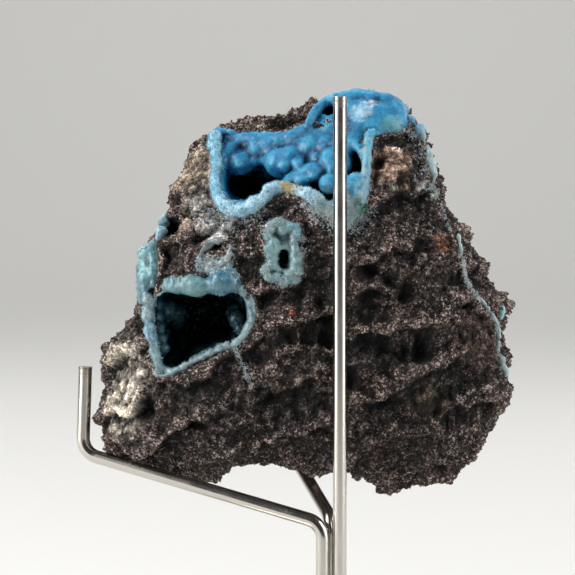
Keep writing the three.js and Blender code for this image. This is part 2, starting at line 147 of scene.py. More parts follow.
class CrustSettings(PropertyGroup):
    """Relief and colours of the hemimorphite crusts."""
    voxel: length("Voxel", "Edge of the crusts' mesh cells", 0.34)
    sunk: length("Sunk", "How far the rock under a crust lies below it", 0.25)
    skin: length("Skin", "How far a crust grows in the open", 0.2)
    border_sink: length("Border Sink", "How far a crust dips under the rock at its border", 0.4)
    border_width: length("Border Width", "Width of the border where a crust thins out", 1.2)
    bead_size: length("Bead Size", "Width of the small beads on the lobes", 0.9)
    bead_height: length("Bead Height", "Height of the small beads on the lobes", 0.05)
    rod_clearance: length("Rod Clearance", "Nearest that a crust comes to a rod's centre line", 1.6)
    crystal_size: length("Crystal Size", "Length of the druse crystals", 0.62)
    crystal_density: FloatProperty(name="Crystal Density", default=6.0e6, min=0.0,
                                   description="Druse crystals on each square metre of a sugary rim")
    patch_size: length("Patch Size", "Width of the sugary patches on the lobes", 5.0)
    crystal_seed: IntProperty(name="Crystal Seed", description="Seed of the crystals' places", default=8)
    azure: tint("Azure", "Body of the upper crust", "#137aa7")
    deep_azure: tint("Deep Azure", "Deep patches of the upper crust", "#0a4a72")
    # Sky is laid on the lobes' tops as painted light, besides patches and specks of the crust's own paler
    # blue
    sky: tint("Sky", "Pale blue of the lobes' tops", "#52b5d6")
    ice: tint("Ice", "Nearly white rims", "#b2dde9")
    teal: tint("Teal", "Body of the lower crust", "#4d7682")
    deep_teal: tint("Deep Teal", "Shaded inside of the lower crust", "#16404f")
    # Aqua is laid on the lower lobes' tops as painted light, besides patches of the crust's own paler aqua
    aqua: tint("Aqua", "Pale lobes of the lower crust", "#7aa4a9")
    sugar: tint("Sugar", "Loose white grains beside the crusts", "#e0ebec")
    dusty: tint("Dusty", "Loose grey grains beside the crusts", "#a6b8bb")
    frost: tint("Frost", "Frosted edge of the lower hollow", "#b3c4c6")
    grey_aqua: tint("Grey Aqua", "Rim of the lower crust", "#8fadb0")


class StandSettings(PropertyGroup):
    """Sizes and colours of the rod stand."""
    rod_radius: length("Rod Radius", "Half of the rod's diameter", 1.5)
    bend_radius: length("Bend Radius", "Radius of the bends at the rod's centre line", 4.2)
    foot_thickness: length("Foot Thickness", "Thickness of the round foot", 8)
    foot_round: length("Foot Round", "Rounding of the foot's edges", 0.8)
    boss_radius: length("Boss Radius", "Radius of the boss that holds the rods", 7.5)
    steel: tint("Steel", "Stainless steel", "#cfcac2")
    scuffed: tint("Scuffed Steel", "Dull sawn and filed ends", "#8d857b")


class StageSettings(PropertyGroup):
    """Floor and lights."""
    floor: tint("Floor", "Matt paper floor", "#dcdbd8")
    key_power: power("Key Power", "Power of the left softbox", 4.6)
    fill_power: power("Fill Power", "Power of the right softbox", 2.8)
    top_power: power("Top Power", "Power of the overhead softbox", 2.8)
    back_power: power("Back Power", "Power of the two lights behind", 1.2)
    card_power: power("Card Power", "Power of the two cards that the rods mirror", 0.8)
    wall_power: power("Wall Power", "Power of the light on the backdrop", 15.0)
    world: FloatProperty(name="World", description="Strength of the even light from all round", default=0.08)


def add(tree, kind, inputs=None, out=0, **settings):
    """Adds a node with its settings and links, and returns one of its outputs, or the node if it has none."""
    node = tree.nodes.new(kind)
    for name, value in settings.items():
        setattr(node, name, value)
    for key, value in (inputs or {}).items():
        for item in value if isinstance(value, list) else [value]:
            if isinstance(item, bpy.types.NodeSocket):
                tree.links.new(item, node.inputs[key])
            else:
                node.inputs[key].default_value = item
    return node.outputs[out] if len(node.outputs) else node


def geometry_tree(name, sockets):
    """Starts a geometry tree with the named inputs, and returns it with the group's input sockets."""
    tree = bpy.data.node_groups.new(name, "GeometryNodeTree")
    tree.interface.new_socket("Geometry", in_out="OUTPUT", socket_type="NodeSocketGeometry")
    tree.interface.new_socket("Geometry", in_out="INPUT", socket_type="NodeSocketGeometry")
    for label, kind in sockets.items():
        tree.interface.new_socket(label, in_out="INPUT", socket_type="NodeSocket" + kind)
    return tree, add(tree, "NodeGroupInput").node.outputs


def grow(obj, tree, values):
    """Puts a geometry tree on an object as a modifier and sets its named inputs."""
    modifier = obj.modifiers.new(tree.name, "NODES")
    modifier.node_group = tree
    for item in tree.interface.items_tree:
        if item.in_out == "INPUT" and item.name in values:
            modifier[item.identifier] = values[item.name]


def even_cells(obj, voxel, softening):
    """Fuses an object's overlapping solids into one skin of even cells, and softens it."""
    remesh = obj.modifiers.new("Fuse", "REMESH")
    remesh.mode = "VOXEL"
    remesh.voxel_size = voxel
    remesh.use_smooth_shade = True
    smooth = obj.modifiers.new("Soften", "SMOOTH")
    smooth.factor = 0.5
    smooth.iterations = softening


def settle(obj):
    """Turns an object and its modifiers into a plain mesh."""
    depsgraph = bpy.context.evaluated_depsgraph_get()
    mesh = bpy.data.meshes.new_from_object(obj.evaluated_get(depsgraph), depsgraph=depsgraph)
    obj.modifiers.clear()
    obj.data = mesh
    mesh.name = obj.name


def new_object(name, vertices, edges=(), faces=()):
    """A mesh object at the origin, from vertices in the row frame."""
    mesh = bpy.data.meshes.new(name)
    mesh.from_pydata(vertices, edges, faces)
    obj = bpy.data.objects.new(name, mesh)
    bpy.context.scene.collection.objects.link(obj)
    return obj


def remove(*objects):
    """Deletes helper objects and their meshes."""
    for obj in objects:
        mesh = obj.data
        bpy.data.objects.remove(obj)
        bpy.data.meshes.remove(mesh)


def fit(obj, slot, material, *nodes):
    """Gives a finished piece its material and its body, and hides the CAD nodes that it stands for."""
    obj.data.materials.clear()
    obj.data.materials.append(material)
    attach(obj, "root")
    if nodes:
        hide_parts(*nodes)


def surface_of(*names):
    """Search tree over CAD nodes and finished pieces, for lines of sight."""
    vertices = []
    faces = []
    for name in names:
        mesh = NODES[name].data if name in NODES else bpy.data.objects[name].data
        start = len(vertices)
        vertices += [vertex.co.copy() for vertex in mesh.vertices]
        faces += [[start + i for i in face.vertices] for face in mesh.polygons]
    return BVHTree.FromPolygons(vertices, faces)


def solids_of(nodes, name, moved):
    """A merged copy of CAD nodes, each vertex moved along its normal by what moved says for its place."""
    work = bmesh.new()
    for node in nodes:
        work.from_mesh(NODES[node].data)
    bmesh.ops.remove_doubles(work, verts=work.verts, dist=WELD)
    work.normal_update()
    for vertex in work.verts:
        vertex.co += moved(vertex.co) * vertex.normal
    obj = new_object(name, [])
    work.to_mesh(obj.data)
    work.free()
    return obj


def sight(across, up):
    """Direction of the line of sight through a place on the sight plane, in millimetres."""
    place = TARGET + Vector((across * MM, 0, 0)) + up * MM * SIGHT_UP
    return (place - EYE).normalized()


def sight_depth(surface, across, up, reach=0.0):
    """Distance from the eye to the surface, at its nearest within reach of a line of sight."""
    RAYS = 8
    turns = [i * math.tau / RAYS for i in range(RAYS)] if reach else []
    around = [(reach * math.cos(turn), reach * math.sin(turn)) for turn in turns]
    depths = []
    for aside, above in [(0, 0)] + around:
        found = surface.ray_cast(EYE, sight(across + aside, up + above))
        if found[0]:
            depths.append(found[3])
    if depths:
        return min(depths)
    place = TARGET + Vector((across * MM, 0, 0)) + up * MM * SIGHT_UP
    return (surface.find_nearest(place)[0] - EYE).dot(sight(across, up))


def spot(surface, across, up, behind=0.0):
    """Where a line of sight meets the surface, or a distance in millimetres behind that."""
    return EYE + (sight_depth(surface, across, up) + behind * MM) * sight(across, up)


def stains_and_shade_on(surface, rows):
    """Spots of colour where lines of sight meet the surface: stains and tints, and painted shade and light.
    Each row is across, up, reach, colour and strength, and for some how far behind the surface."""
    return [(spot(surface, across, up, *behind), reach, shade, strength)
            for across, up, reach, shade, strength, *behind in rows]


def stains_and_shade_near(beads, rows):
    """Spots of colour on the beads nearest to lines of sight: stains and tints, and painted shade and light.
    Each row is across, up, reach, colour and strength."""
    return [(bead_at(beads, across, up), reach, shade, strength)
            for across, up, reach, shade, strength in rows]


def lobes_on(surface, lobes, sink, reach=0.0):
    """Centres and radii of round lobes, each across, up and radius, sunk by a share of the radius."""
    beads = []
    for across, up, radius in lobes:
        depth = sight_depth(surface, across, up, reach) + sink * radius * MM
        beads.append((EYE + depth * sight(across, up), radius * MM))
    return beads


def between(start, end, steps):
    """Rows in equal steps from one row of numbers towards another, which is left out."""
    return [tuple(a + i / steps * (b - a) for a, b in zip(start, end)) for i in range(steps)]


def beads_along(surface, run, sink, reach, rough, seed, spacing=0.45, gaps=0.0):
    """Beads close together along a run of across, up and radius, each a little uneven, with a share left
    out."""
    LEVELLED = 3
    chance = random.Random(seed)
    stops = []
    for start, end in zip(run, run[1:]):
        apart = spacing * (start[2] + end[2]) / 2
        stops += between(start, end, max(1, round(math.hypot(end[0] - start[0], end[1] - start[1]) / apart)))
    stops.append(run[-1])
    depths = [sight_depth(surface, across, up, reach) for across, up, _ in stops]
    beads = []
    for i, (across, up, radius) in enumerate(stops):
        near = depths[max(0, i - LEVELLED):i + LEVELLED + 1]
        uneven = radius * (1 + rough * chance.uniform(-1, 1))
        depth = sum(near) / len(near) + sink * radius * MM
        aside = rough * radius * chance.uniform(-1, 1)
        above = rough * radius * chance.uniform(-1, 1)
        if chance.random() >= gaps:
            beads.append((EYE + depth * sight(across + aside, up + above), uneven * MM))
    return beads


def sprinkle(surface, clusters, sink, seed):
    """Small uneven beads strewn round points, each across, up, spread and number, thinner further out. Lines
    of sight that miss the surface leave none."""
    RADII = 0.1, 0.28
    chance = random.Random(seed)
    grains = []
    for across, up, spread, number in clusters:
        for _ in range(number):
            place = chance.gauss(across, spread), chance.gauss(up, spread)
            if surface.ray_cast(EYE, sight(*place))[0] is not None:
                grains.append((*place, chance.uniform(*RADII)))
    return lobes_on(surface, grains, sink)


def powder_line(run, spread, number):
    """Clusters for sprinkle, close together along a run of across and up."""
    STEP = 0.7
    clusters = []
    for start, end in zip(run, run[1:]):
        steps = max(1, round(math.hypot(end[0] - start[0], end[1] - start[1]) / STEP))
        clusters += [(across, up, spread, number) for across, up in between(start, end, steps)]
    return clusters


def side_lobes(surface, centre, spread, number, seed):
    """Round lobes strewn over the left flank round a point, each sunk into it."""
    START = -200 * MM
    RADII = 0.8, 1.6
    SUNK = 0.7
    chance = random.Random(seed)
    lobes = []
    for _ in range(number):
        y, z = chance.gauss(centre[0], spread[0]), chance.gauss(centre[1], spread[1])
        radius = chance.uniform(*RADII) * MM
        place = surface.ray_cast(Vector((START, y * MM, z * MM)), Vector((1, 0, 0)))[0]
        if place is not None:
            lobes.append((place + Vector((SUNK * radius, 0, 0)), radius))
    return lobes


def mouth_of(beads):
    """Depth at which a line of sight passes a hollow's mouth: a plane through the beads of its rim."""
    along = (TARGET - EYE).normalized()
    rows = []
    depths = []
    for place, _ in beads:
        line = place - EYE
        on_plane = EYE + line * SIGHT_DISTANCE / line.dot(along) - TARGET
        rows.append((1.0, on_plane.x / MM, on_plane.dot(SIGHT_UP) / MM))
        depths.append(line.length)
    flat, across_slope, up_slope = numpy.linalg.lstsq(numpy.array(rows), numpy.array(depths), rcond=None)[0]
    return lambda across, up: float(flat + across_slope * across + up_slope * up)


def fingers(surface, mouth, lobes):
    """Round-ended lobes that grow from a hollow's wall towards its mouth. Each is across, up and radius, and
    how far behind the mouth it ends."""
    STEP = 0.7
    beads = []
    for across, up, radius, behind in lobes:
        depth = mouth(across, up) + (behind + radius) * MM
        wall = max(depth, sight_depth(surface, across, up))
        while depth <= wall:
            beads.append((EYE + depth * sight(across, up), radius * MM))
            depth += STEP * radius * MM
    return beads


def bumps_on(lobes, number, seed):
    """Smaller lobes for fingers, strewn over the fronts of larger ones and standing a little out of them."""
    OFFSETS = 0.25, 0.85
    SIZES = 0.32, 0.55
    PROUD = 0.2
    chance = random.Random(seed)
    bumps = []
    for across, up, radius, behind in lobes:
        for _ in range(number):
            turn = chance.uniform(0, math.tau)
            offset = radius * chance.uniform(*OFFSETS)
            size = radius * chance.uniform(*SIZES)
            front = behind + radius - math.sqrt(radius ** 2 - offset ** 2)
            bumps.append((across + offset * math.cos(turn), up + offset * math.sin(turn), size,
                          front - PROUD * size))
    return bumps


def bead_at(beads, across, up):
    """Where the bead is that lies nearest to a line of sight, the front one of a row."""
    line = sight(across, up)

    def order(place):
        return round((place - EYE).cross(line).length, 4), (place - EYE).length

    return min((place for place, _ in beads), key=order)


def bead_guide(name, beads):
    """Points that carry the beads' radii."""
    guide = new_object(name, [place for place, _ in beads])
    radii = guide.data.attributes.new("radius", "FLOAT", "POINT")
    radii.data.foreach_set("value", [size for _, size in beads])
    return guide


def bent_line(corners, bend):
    """Points of a centre line with straight runs and round bends."""
    BEND_STEPS = 10
    line = [corners[0]]
    for before, corner, after in zip(corners, corners[1:], corners[2:]):
        back = (before - corner).normalized()
        on = (after - corner).normalized()
        half = back.angle(on) / 2
        middle = corner + (back + on).normalized() * bend / math.sin(half)
        start = corner + back * bend / math.tan(half) - middle
        end = corner + on * bend / math.tan(half) - middle
        line += [middle + bend * start.slerp(end, i / BEND_STEPS).normalized() for i in range(BEND_STEPS + 1)]
    return line + [corners[-1]]


def rod_lines(bend):
    """Centre lines of the post and the two arms."""
    post = STEM + Vector((STEM_HALF_PITCH, 0, 0))
    left = STEM - Vector((STEM_HALF_PITCH, 0, 0))
    back = STEM + Vector((0, STEM_BACK_PITCH, 0))

    def at(foot, height):
        return Vector((foot.x, foot.y, height))

    return {
        "post": [at(post, ROD_FOOT), at(post, POST_TOP)],
        "left_arm": bent_line([at(left, ROD_FOOT), at(left, LEFT_ARM_ROOT), LEFT_HOOK,
                               LEFT_HOOK + LEFT_PRONG], bend),
        "back_arm": bent_line([at(back, ROD_FOOT), at(back, BACK_ARM_ROOT), BACK_HOOK,
                               BACK_HOOK + BACK_PRONG], bend),
    }


def rod_guide(bend):
    """A wire object along every rod's centre line, for keeping the stone clear of the rods."""
    vertices = []
    edges = []
    for line in rod_lines(bend).values():
        start = len(vertices)
        vertices += line
        edges += [(start + i, start + i + 1) for i in range(len(line) - 1)]
    return new_object("rod_guide", vertices, edges)


# Geometry trees

def push_clear(tree, geometry, rods, clearance):
    """Moves points that come too near a rod's centre line straight out to the clearance."""
    wire = add(tree, "GeometryNodeObjectInfo", {"Object": rods}, out="Geometry", transform_space="RELATIVE")
    place = add(tree, "GeometryNodeInputPosition")
    near = add(tree, "GeometryNodeProximity", {0: wire}, out="Position", target_element="EDGES").node
    away = add(tree, "ShaderNodeVectorMath", {0: place, 1: near.outputs["Position"]}, operation="SUBTRACT")
    away = add(tree, "ShaderNodeVectorMath", {0: away}, operation="NORMALIZE")
    short = add(tree, "ShaderNodeMath", {0: clearance, 1: near.outputs["Distance"]}, operation="SUBTRACT")
    short = add(tree, "ShaderNodeMath", {0: short, 1: 0.0}, operation="MAXIMUM")
    offset = add(tree, "ShaderNodeVectorMath", {0: away, "Scale": short}, operation="SCALE")
    return add(tree, "GeometryNodeSetPosition", {"Geometry": geometry, "Offset": offset})


def keep(tree, geometry, name, value):
    """Keeps a value on the points, for the materials and the pieces that grow on them."""
    return add(tree, "GeometryNodeStoreNamedAttribute", {"Geometry": geometry, "Name": name, "Value": value},
               data_type="FLOAT", domain="POINT")


def keep_bulge(tree, geometry, name, rounds):
    """Keeps how far each point stands out of the surface round it, or lies below it."""
    place = add(tree, "GeometryNodeInputPosition")
    soft = add(tree, "GeometryNodeBlurAttribute", {"Value": place, "Iterations": rounds},
               data_type="FLOAT_VECTOR")
    away = add(tree, "ShaderNodeVectorMath", {0: place, 1: soft}, operation="SUBTRACT")
    normal = add(tree, "GeometryNodeInputNormal")
    bulge = add(tree, "ShaderNodeVectorMath", {0: away, 1: normal}, out="Value", operation="DOT_PRODUCT")
    return keep(tree, geometry, name, bulge)


def rock_tree():
    """Relief of broken rock: lumps, slanting ledges, clods and grit, dying away at the crusts."""
    tree, given = geometry_tree("Broken rock", {
        "Lump Size": "Float", "Lump Height": "Float", "Ledge Size": "Float", "Ledge Height": "Float",
        "Clod Size": "Float", "Clod Height": "Float", "Grit Size": "Float", "Grit Height": "Float",
        "Dips": "Object", "Dip Reach": "Float", "Dip Depth": "Float", "Crusts": "Collection",
        "Crust Fade": "Float", "Rods": "Object", "Rod Clearance": "Float", "Material": "Material",
    })
    LEDGE_SLOPE = math.radians(22)
    LEDGE_RISE = (-math.sin(LEDGE_SLOPE), 0.25, math.cos(LEDGE_SLOPE))
    LEDGE_WAVER = 1.5
    CRUST_EDGE = 0.3 * MM
    BULGE_ROUNDS = 10
    BROAD_ROUNDS = 120
    place = add(tree, "GeometryNodeInputPosition")
    rate = {}
    for label in ("Lump", "Ledge", "Clod", "Grit"):
        rate[label] = add(tree, "ShaderNodeMath", {0: 1.0, 1: given[label + " Size"]}, operation="DIVIDE")
    broad = add(tree, "ShaderNodeTexNoise", {"Vector": place, "Scale": rate["Lump"], "Detail": 3.0}).node
    lump = add(tree, "ShaderNodeMapRange", {0: broad.outputs[0], 1: 0.25, 2: 0.75, 3: -1.0, 4: 1.0})
    waver = add(tree, "FunctionNodeSeparateColor", {0: broad.outputs[1]}).node
    rise = add(tree, "ShaderNodeVectorMath", {0: place, 1: LEDGE_RISE}, out="Value", operation="DOT_PRODUCT")
    rise = add(tree, "ShaderNodeMath", {0: rise, 1: rate["Ledge"]}, operation="MULTIPLY")
    bend = add(tree, "ShaderNodeMath", {0: waver.outputs[1], 1: LEDGE_WAVER}, operation="MULTIPLY")
    step = add(tree, "ShaderNodeMath", {0: rise, 1: bend}, operation="ADD")
    step = add(tree, "ShaderNodeMath", {0: step}, operation="FRACT")
    ledge = add(tree, "ShaderNodeMapRange", {0: step, 1: 0.0, 2: 0.85, 3: 1.0, 4: -1.0})
    back_up = add(tree, "ShaderNodeMapRange", {0: step, 1: 0.9, 2: 1.0, 3: 0.0, 4: 2.0})
    ledge = add(tree, "ShaderNodeMath", {0: ledge, 1: back_up}, operation="ADD")
    strong = add(tree, "ShaderNodeMapRange", {0: waver.outputs[2], 1: 0.42, 2: 0.6, 3: 0.0, 4: 1.0})
    ledge = add(tree, "ShaderNodeMath", {0: ledge, 1: strong}, operation="MULTIPLY")
    clod = add(tree, "ShaderNodeTexVoronoi", {"Vector": place, "Scale": rate["Clod"], "Detail": 1.0})
    clod = add(tree, "ShaderNodeMapRange", {0: clod, 1: 0.1, 2: 0.8, 3: 1.0, 4: -1.0})
    fine = add(tree, "ShaderNodeTexNoise", {"Vector": place, "Scale": rate["Grit"], "Detail": 4.0,
                                            "Roughness": 0.75}).node
    grit = add(tree, "ShaderNodeMapRange", {0: fine.outputs[0], 1: 0.25, 2: 0.75, 3: -1.0, 4: 1.0})
    relief = None
    for label, part in (("Lump", lump), ("Ledge", ledge), ("Clod", clod), ("Grit", grit)):
        high = add(tree, "ShaderNodeMath", {0: part, 1: given[label + " Height"]}, operation="MULTIPLY")
        relief = add(tree, "ShaderNodeMath", {0: relief, 1: high}, operation="ADD") if relief else high
    dips = add(tree, "GeometryNodeObjectInfo", {"Object": given["Dips"]}, out="Geometry",
               transform_space="RELATIVE")
    away = add(tree, "GeometryNodeProximity", {0: dips}, out="Distance", target_element="POINTS")
    deep = add(tree, "ShaderNodeMath", {0: given["Dip Depth"], 1: -1.0}, operation="MULTIPLY")
    dip = add(tree, "ShaderNodeMapRange", {0: away, 1: 0.0, 2: given["Dip Reach"], 3: deep, 4: 0.0},
              interpolation_type="SMOOTHSTEP")
    relief = add(tree, "ShaderNodeMath", {0: relief, 1: dip}, operation="ADD")
    crusts = add(tree, "GeometryNodeCollectionInfo", {"Collection": given["Crusts"]})
    crusts = add(tree, "GeometryNodeRealizeInstances", {"Geometry": crusts})
    apart = add(tree, "GeometryNodeProximity", {0: crusts}, out="Distance", target_element="FACES")
    fade = add(tree, "ShaderNodeMapRange", {0: apart, 1: CRUST_EDGE, 2: given["Crust Fade"], 3: 0.0, 4: 1.0},
               interpolation_type="SMOOTHSTEP")
    relief = add(tree, "ShaderNodeMath", {0: relief, 1: fade}, operation="MULTIPLY")
    kept = keep(tree, given["Geometry"], "apart", apart)
    normal = add(tree, "GeometryNodeInputNormal")
    offset = add(tree, "ShaderNodeVectorMath", {0: normal, "Scale": relief}, operation="SCALE")
    shift = add(tree, "ShaderNodeVectorMath", {0: fine.outputs[1], 1: (0.5, 0.5, 0.5)}, operation="SUBTRACT")
    far = add(tree, "ShaderNodeMath", {0: fade, 1: given["Grit Height"]}, operation="MULTIPLY")
    shift = add(tree, "ShaderNodeVectorMath", {0: shift, "Scale": far}, operation="SCALE")
    offset = add(tree, "ShaderNodeVectorMath", {0: offset, 1: shift}, operation="ADD")
    shaped = add(tree, "GeometryNodeSetPosition", {"Geometry": kept, "Offset": offset})
    clear = push_clear(tree, shaped, given["Rods"], given["Rod Clearance"])
    kept = keep_bulge(tree, clear, "bulge", BULGE_ROUNDS)
    kept = keep_bulge(tree, kept, "broad", BROAD_ROUNDS)
    done = add(tree, "GeometryNodeSetMaterial", {"Geometry": kept, "Material": given["Material"]})
    add(tree, "NodeGroupOutput", {0: done})
    return tree


def scatter(tree, points, grain, turn, size, seed, material):
    """Puts a grain on each point, with a tone of its own, as plain mesh."""
    grains = add(tree, "GeometryNodeInstanceOnPoints",
                 {"Points": points, "Instance": grain, "Rotation": turn, "Scale": size})
    tone = add(tree, "FunctionNodeRandomValue", {2: 0.0, 3: 1.0, "Seed": seed}, out=1, data_type="FLOAT")
    grains = add(tree, "GeometryNodeStoreNamedAttribute", {"Geometry": grains, "Name": "tone", "Value": tone},
                 data_type="FLOAT", domain="INSTANCE")
    grains = add(tree, "GeometryNodeRealizeInstances", {"Geometry": grains})
    return add(tree, "GeometryNodeSetMaterial", {"Geometry": grains, "Material": material})


def clear_points(tree, points, rods, room):
    """Drops points that lie too near a rod's centre line."""
    wire = add(tree, "GeometryNodeObjectInfo", {"Object": rods}, out="Geometry", transform_space="RELATIVE")
    away = add(tree, "GeometryNodeProximity", {0: wire}, out="Distance", target_element="EDGES")
    near = add(tree, "FunctionNodeCompare", {0: away, 1: room}, data_type="FLOAT", operation="LESS_THAN")
    return add(tree, "GeometryNodeDeleteGeometry", {"Geometry": points, "Selection": near}, domain="POINT")


def grain_tree():
    """Small angular grains all over the rock, each with a tone of its own."""
    tree, given = geometry_tree("Rock grains", {
        "Grain Size": "Float", "Density": "Float", "Seed": "Int", "Rods": "Object", "Rod Clearance": "Float",
        "Material": "Material",
    })
    BARE = 0.45 * MM
    LEAST = (0.5, 0.5, 0.3)
    MOST = (1.6, 1.5, 1.1)
    apart = add(tree, "GeometryNodeInputNamedAttribute", {"Name": "apart"}, data_type="FLOAT")
    bare = add(tree, "FunctionNodeCompare", {0: apart, 1: BARE}, data_type="FLOAT", operation="GREATER_THAN")
    points = add(tree, "GeometryNodeDistributePointsOnFaces",
                 {"Mesh": given["Geometry"], "Selection": bare, "Density": given["Density"],
                  "Seed": given["Seed"]}, distribute_method="RANDOM")
    room = add(tree, "ShaderNodeMath", {0: given["Rod Clearance"], 1: given["Grain Size"]}, operation="ADD")
    points = clear_points(tree, points, given["Rods"], room)
    turn = add(tree, "FunctionNodeRandomValue", {0: (0, 0, 0), 1: (math.tau,) * 3, "Seed": 1},
               data_type="FLOAT_VECTOR")
    size = add(tree, "FunctionNodeRandomValue", {0: LEAST, 1: MOST, "Seed": 2}, data_type="FLOAT_VECTOR")
    size = add(tree, "ShaderNodeVectorMath", {0: size, "Scale": given["Grain Size"]}, operation="SCALE")
    grain = add(tree, "GeometryNodeMeshCone", {"Vertices": 3, "Radius Top": 0.0, "Radius Bottom": 0.6,
                                               "Depth": 0.9})
    add(tree, "NodeGroupOutput", {0: scatter(tree, points, grain, turn, size, 3, given["Material"])})
    return tree


def crystal_tree():
    """Druse: small pointed crystals that stand on a crust's rim and in patches on its lobes."""
    tree, given = geometry_tree("Druse crystals", {
        "Crystal Size": "Float", "Density": "Float", "Rim Width": "Float", "Patch Size": "Float",
        "Seed": "Int", "Rods": "Object", "Rod Clearance": "Float", "Material": "Material",
    })
    LEAN = 0.5
    RIM_FADE = 1.8
    LEAST = (0.22, 0.18, 0.7)
    MOST = (0.45, 0.36, 1.8)
    place = add(tree, "GeometryNodeInputPosition")
    rim = add(tree, "GeometryNodeInputNamedAttribute", {"Name": "rim"}, data_type="FLOAT")
    wide = add(tree, "ShaderNodeMath", {0: given["Rim Width"], 1: RIM_FADE}, operation="MULTIPLY")
    on_rim = add(tree, "ShaderNodeMapRange", {0: rim, 1: given["Rim Width"], 2: wide, 3: 1.0, 4: 0.0})
    rate = add(tree, "ShaderNodeMath", {0: 1.0, 1: given["Patch Size"]}, operation="DIVIDE")
    patch = add(tree, "ShaderNodeTexNoise", {"Vector": place, "Scale": rate, "Detail": 3.0})
    patch = add(tree, "ShaderNodeMapRange", {0: patch, 1: 0.56, 2: 0.66, 3: 0.0, 4: 0.6})
    share = add(tree, "ShaderNodeMath", {0: on_rim, 1: patch}, operation="MAXIMUM")
    density = add(tree, "ShaderNodeMath", {0: share, 1: given["Density"]}, operation="MULTIPLY")
    points = add(tree, "GeometryNodeDistributePointsOnFaces",
                 {"Mesh": given["Geometry"], "Density": density, "Seed": given["Seed"]},
                 distribute_method="RANDOM").node
    lean = add(tree, "FunctionNodeRandomValue", {0: (-LEAN,) * 3, 1: (LEAN,) * 3, "Seed": 1},
               data_type="FLOAT_VECTOR")
    lean = add(tree, "ShaderNodeVectorMath", {0: points.outputs["Normal"], 1: lean}, operation="ADD")
    turn = add(tree, "FunctionNodeAlignRotationToVector", {"Vector": lean}, axis="Z")
    room = add(tree, "ShaderNodeMath", {0: given["Rod Clearance"], 1: given["Crystal Size"]}, operation="ADD")
    standing = clear_points(tree, points.outputs["Points"], given["Rods"], room)
    size = add(tree, "FunctionNodeRandomValue", {0: LEAST, 1: MOST, "Seed": 2}, data_type="FLOAT_VECTOR")
    size = add(tree, "ShaderNodeVectorMath", {0: size, "Scale": given["Crystal Size"]}, operation="SCALE")
    crystal = add(tree, "GeometryNodeMeshUVSphere", {"Segments": 4, "Rings": 2, "Radius": 0.5})
    add(tree, "NodeGroupOutput", {0: scatter(tree, standing, crystal, turn, size, 3, given["Material"])})
    return tree


def sugar_tree():
    """Small angular grains, one on each point of a guide and as big as its radius."""
    tree, given = geometry_tree("Sugary grains", {
        "Grains": "Object", "Rods": "Object", "Rod Clearance": "Float", "Material": "Material",
    })
    LEAST = (0.7, 0.7, 0.5)
    MOST = (1.3, 1.2, 1.6)
    points = add(tree, "GeometryNodeObjectInfo", {"Object": given["Grains"]}, out="Geometry",
                 transform_space="RELATIVE")
    points = clear_points(tree, points, given["Rods"], given["Rod Clearance"])
    radius = add(tree, "GeometryNodeInputNamedAttribute", {"Name": "radius"}, data_type="FLOAT")
    turn = add(tree, "FunctionNodeRandomValue", {0: (0, 0, 0), 1: (math.tau,) * 3, "Seed": 1},
               data_type="FLOAT_VECTOR")
    size = add(tree, "FunctionNodeRandomValue", {0: LEAST, 1: MOST, "Seed": 2}, data_type="FLOAT_VECTOR")
    size = add(tree, "ShaderNodeVectorMath", {0: size, "Scale": radius}, operation="SCALE")
    grain = add(tree, "GeometryNodeMeshUVSphere", {"Segments": 4, "Rings": 2, "Radius": 1.0})
    add(tree, "NodeGroupOutput", {0: scatter(tree, points, grain, turn, size, 3, given["Material"])})
    return tree


def lobe_tree():
    """Round lobes, one on each point of a guide and as big as its radius, joined to what they grow on."""
    tree, given = geometry_tree("Lobes", {"Lobes": "Object"})
    points = add(tree, "GeometryNodeObjectInfo", {"Object": given["Lobes"]}, out="Geometry",
                 transform_space="RELATIVE")
    ball = add(tree, "GeometryNodeMeshIcoSphere", {"Radius": 1.0, "Subdivisions": 3})
    radius = add(tree, "GeometryNodeInputNamedAttribute", {"Name": "radius"}, data_type="FLOAT")
    size = add(tree, "ShaderNodeCombineXYZ", {0: radius, 1: radius, 2: radius})
    lobes = add(tree, "GeometryNodeInstanceOnPoints", {"Points": points, "Instance": ball, "Scale": size})
    lobes = add(tree, "GeometryNodeRealizeInstances", {"Geometry": lobes})
    joined = add(tree, "GeometryNodeJoinGeometry", {"Geometry": [lobes, given["Geometry"]]})
    add(tree, "NodeGroupOutput", {0: joined})
    return tree


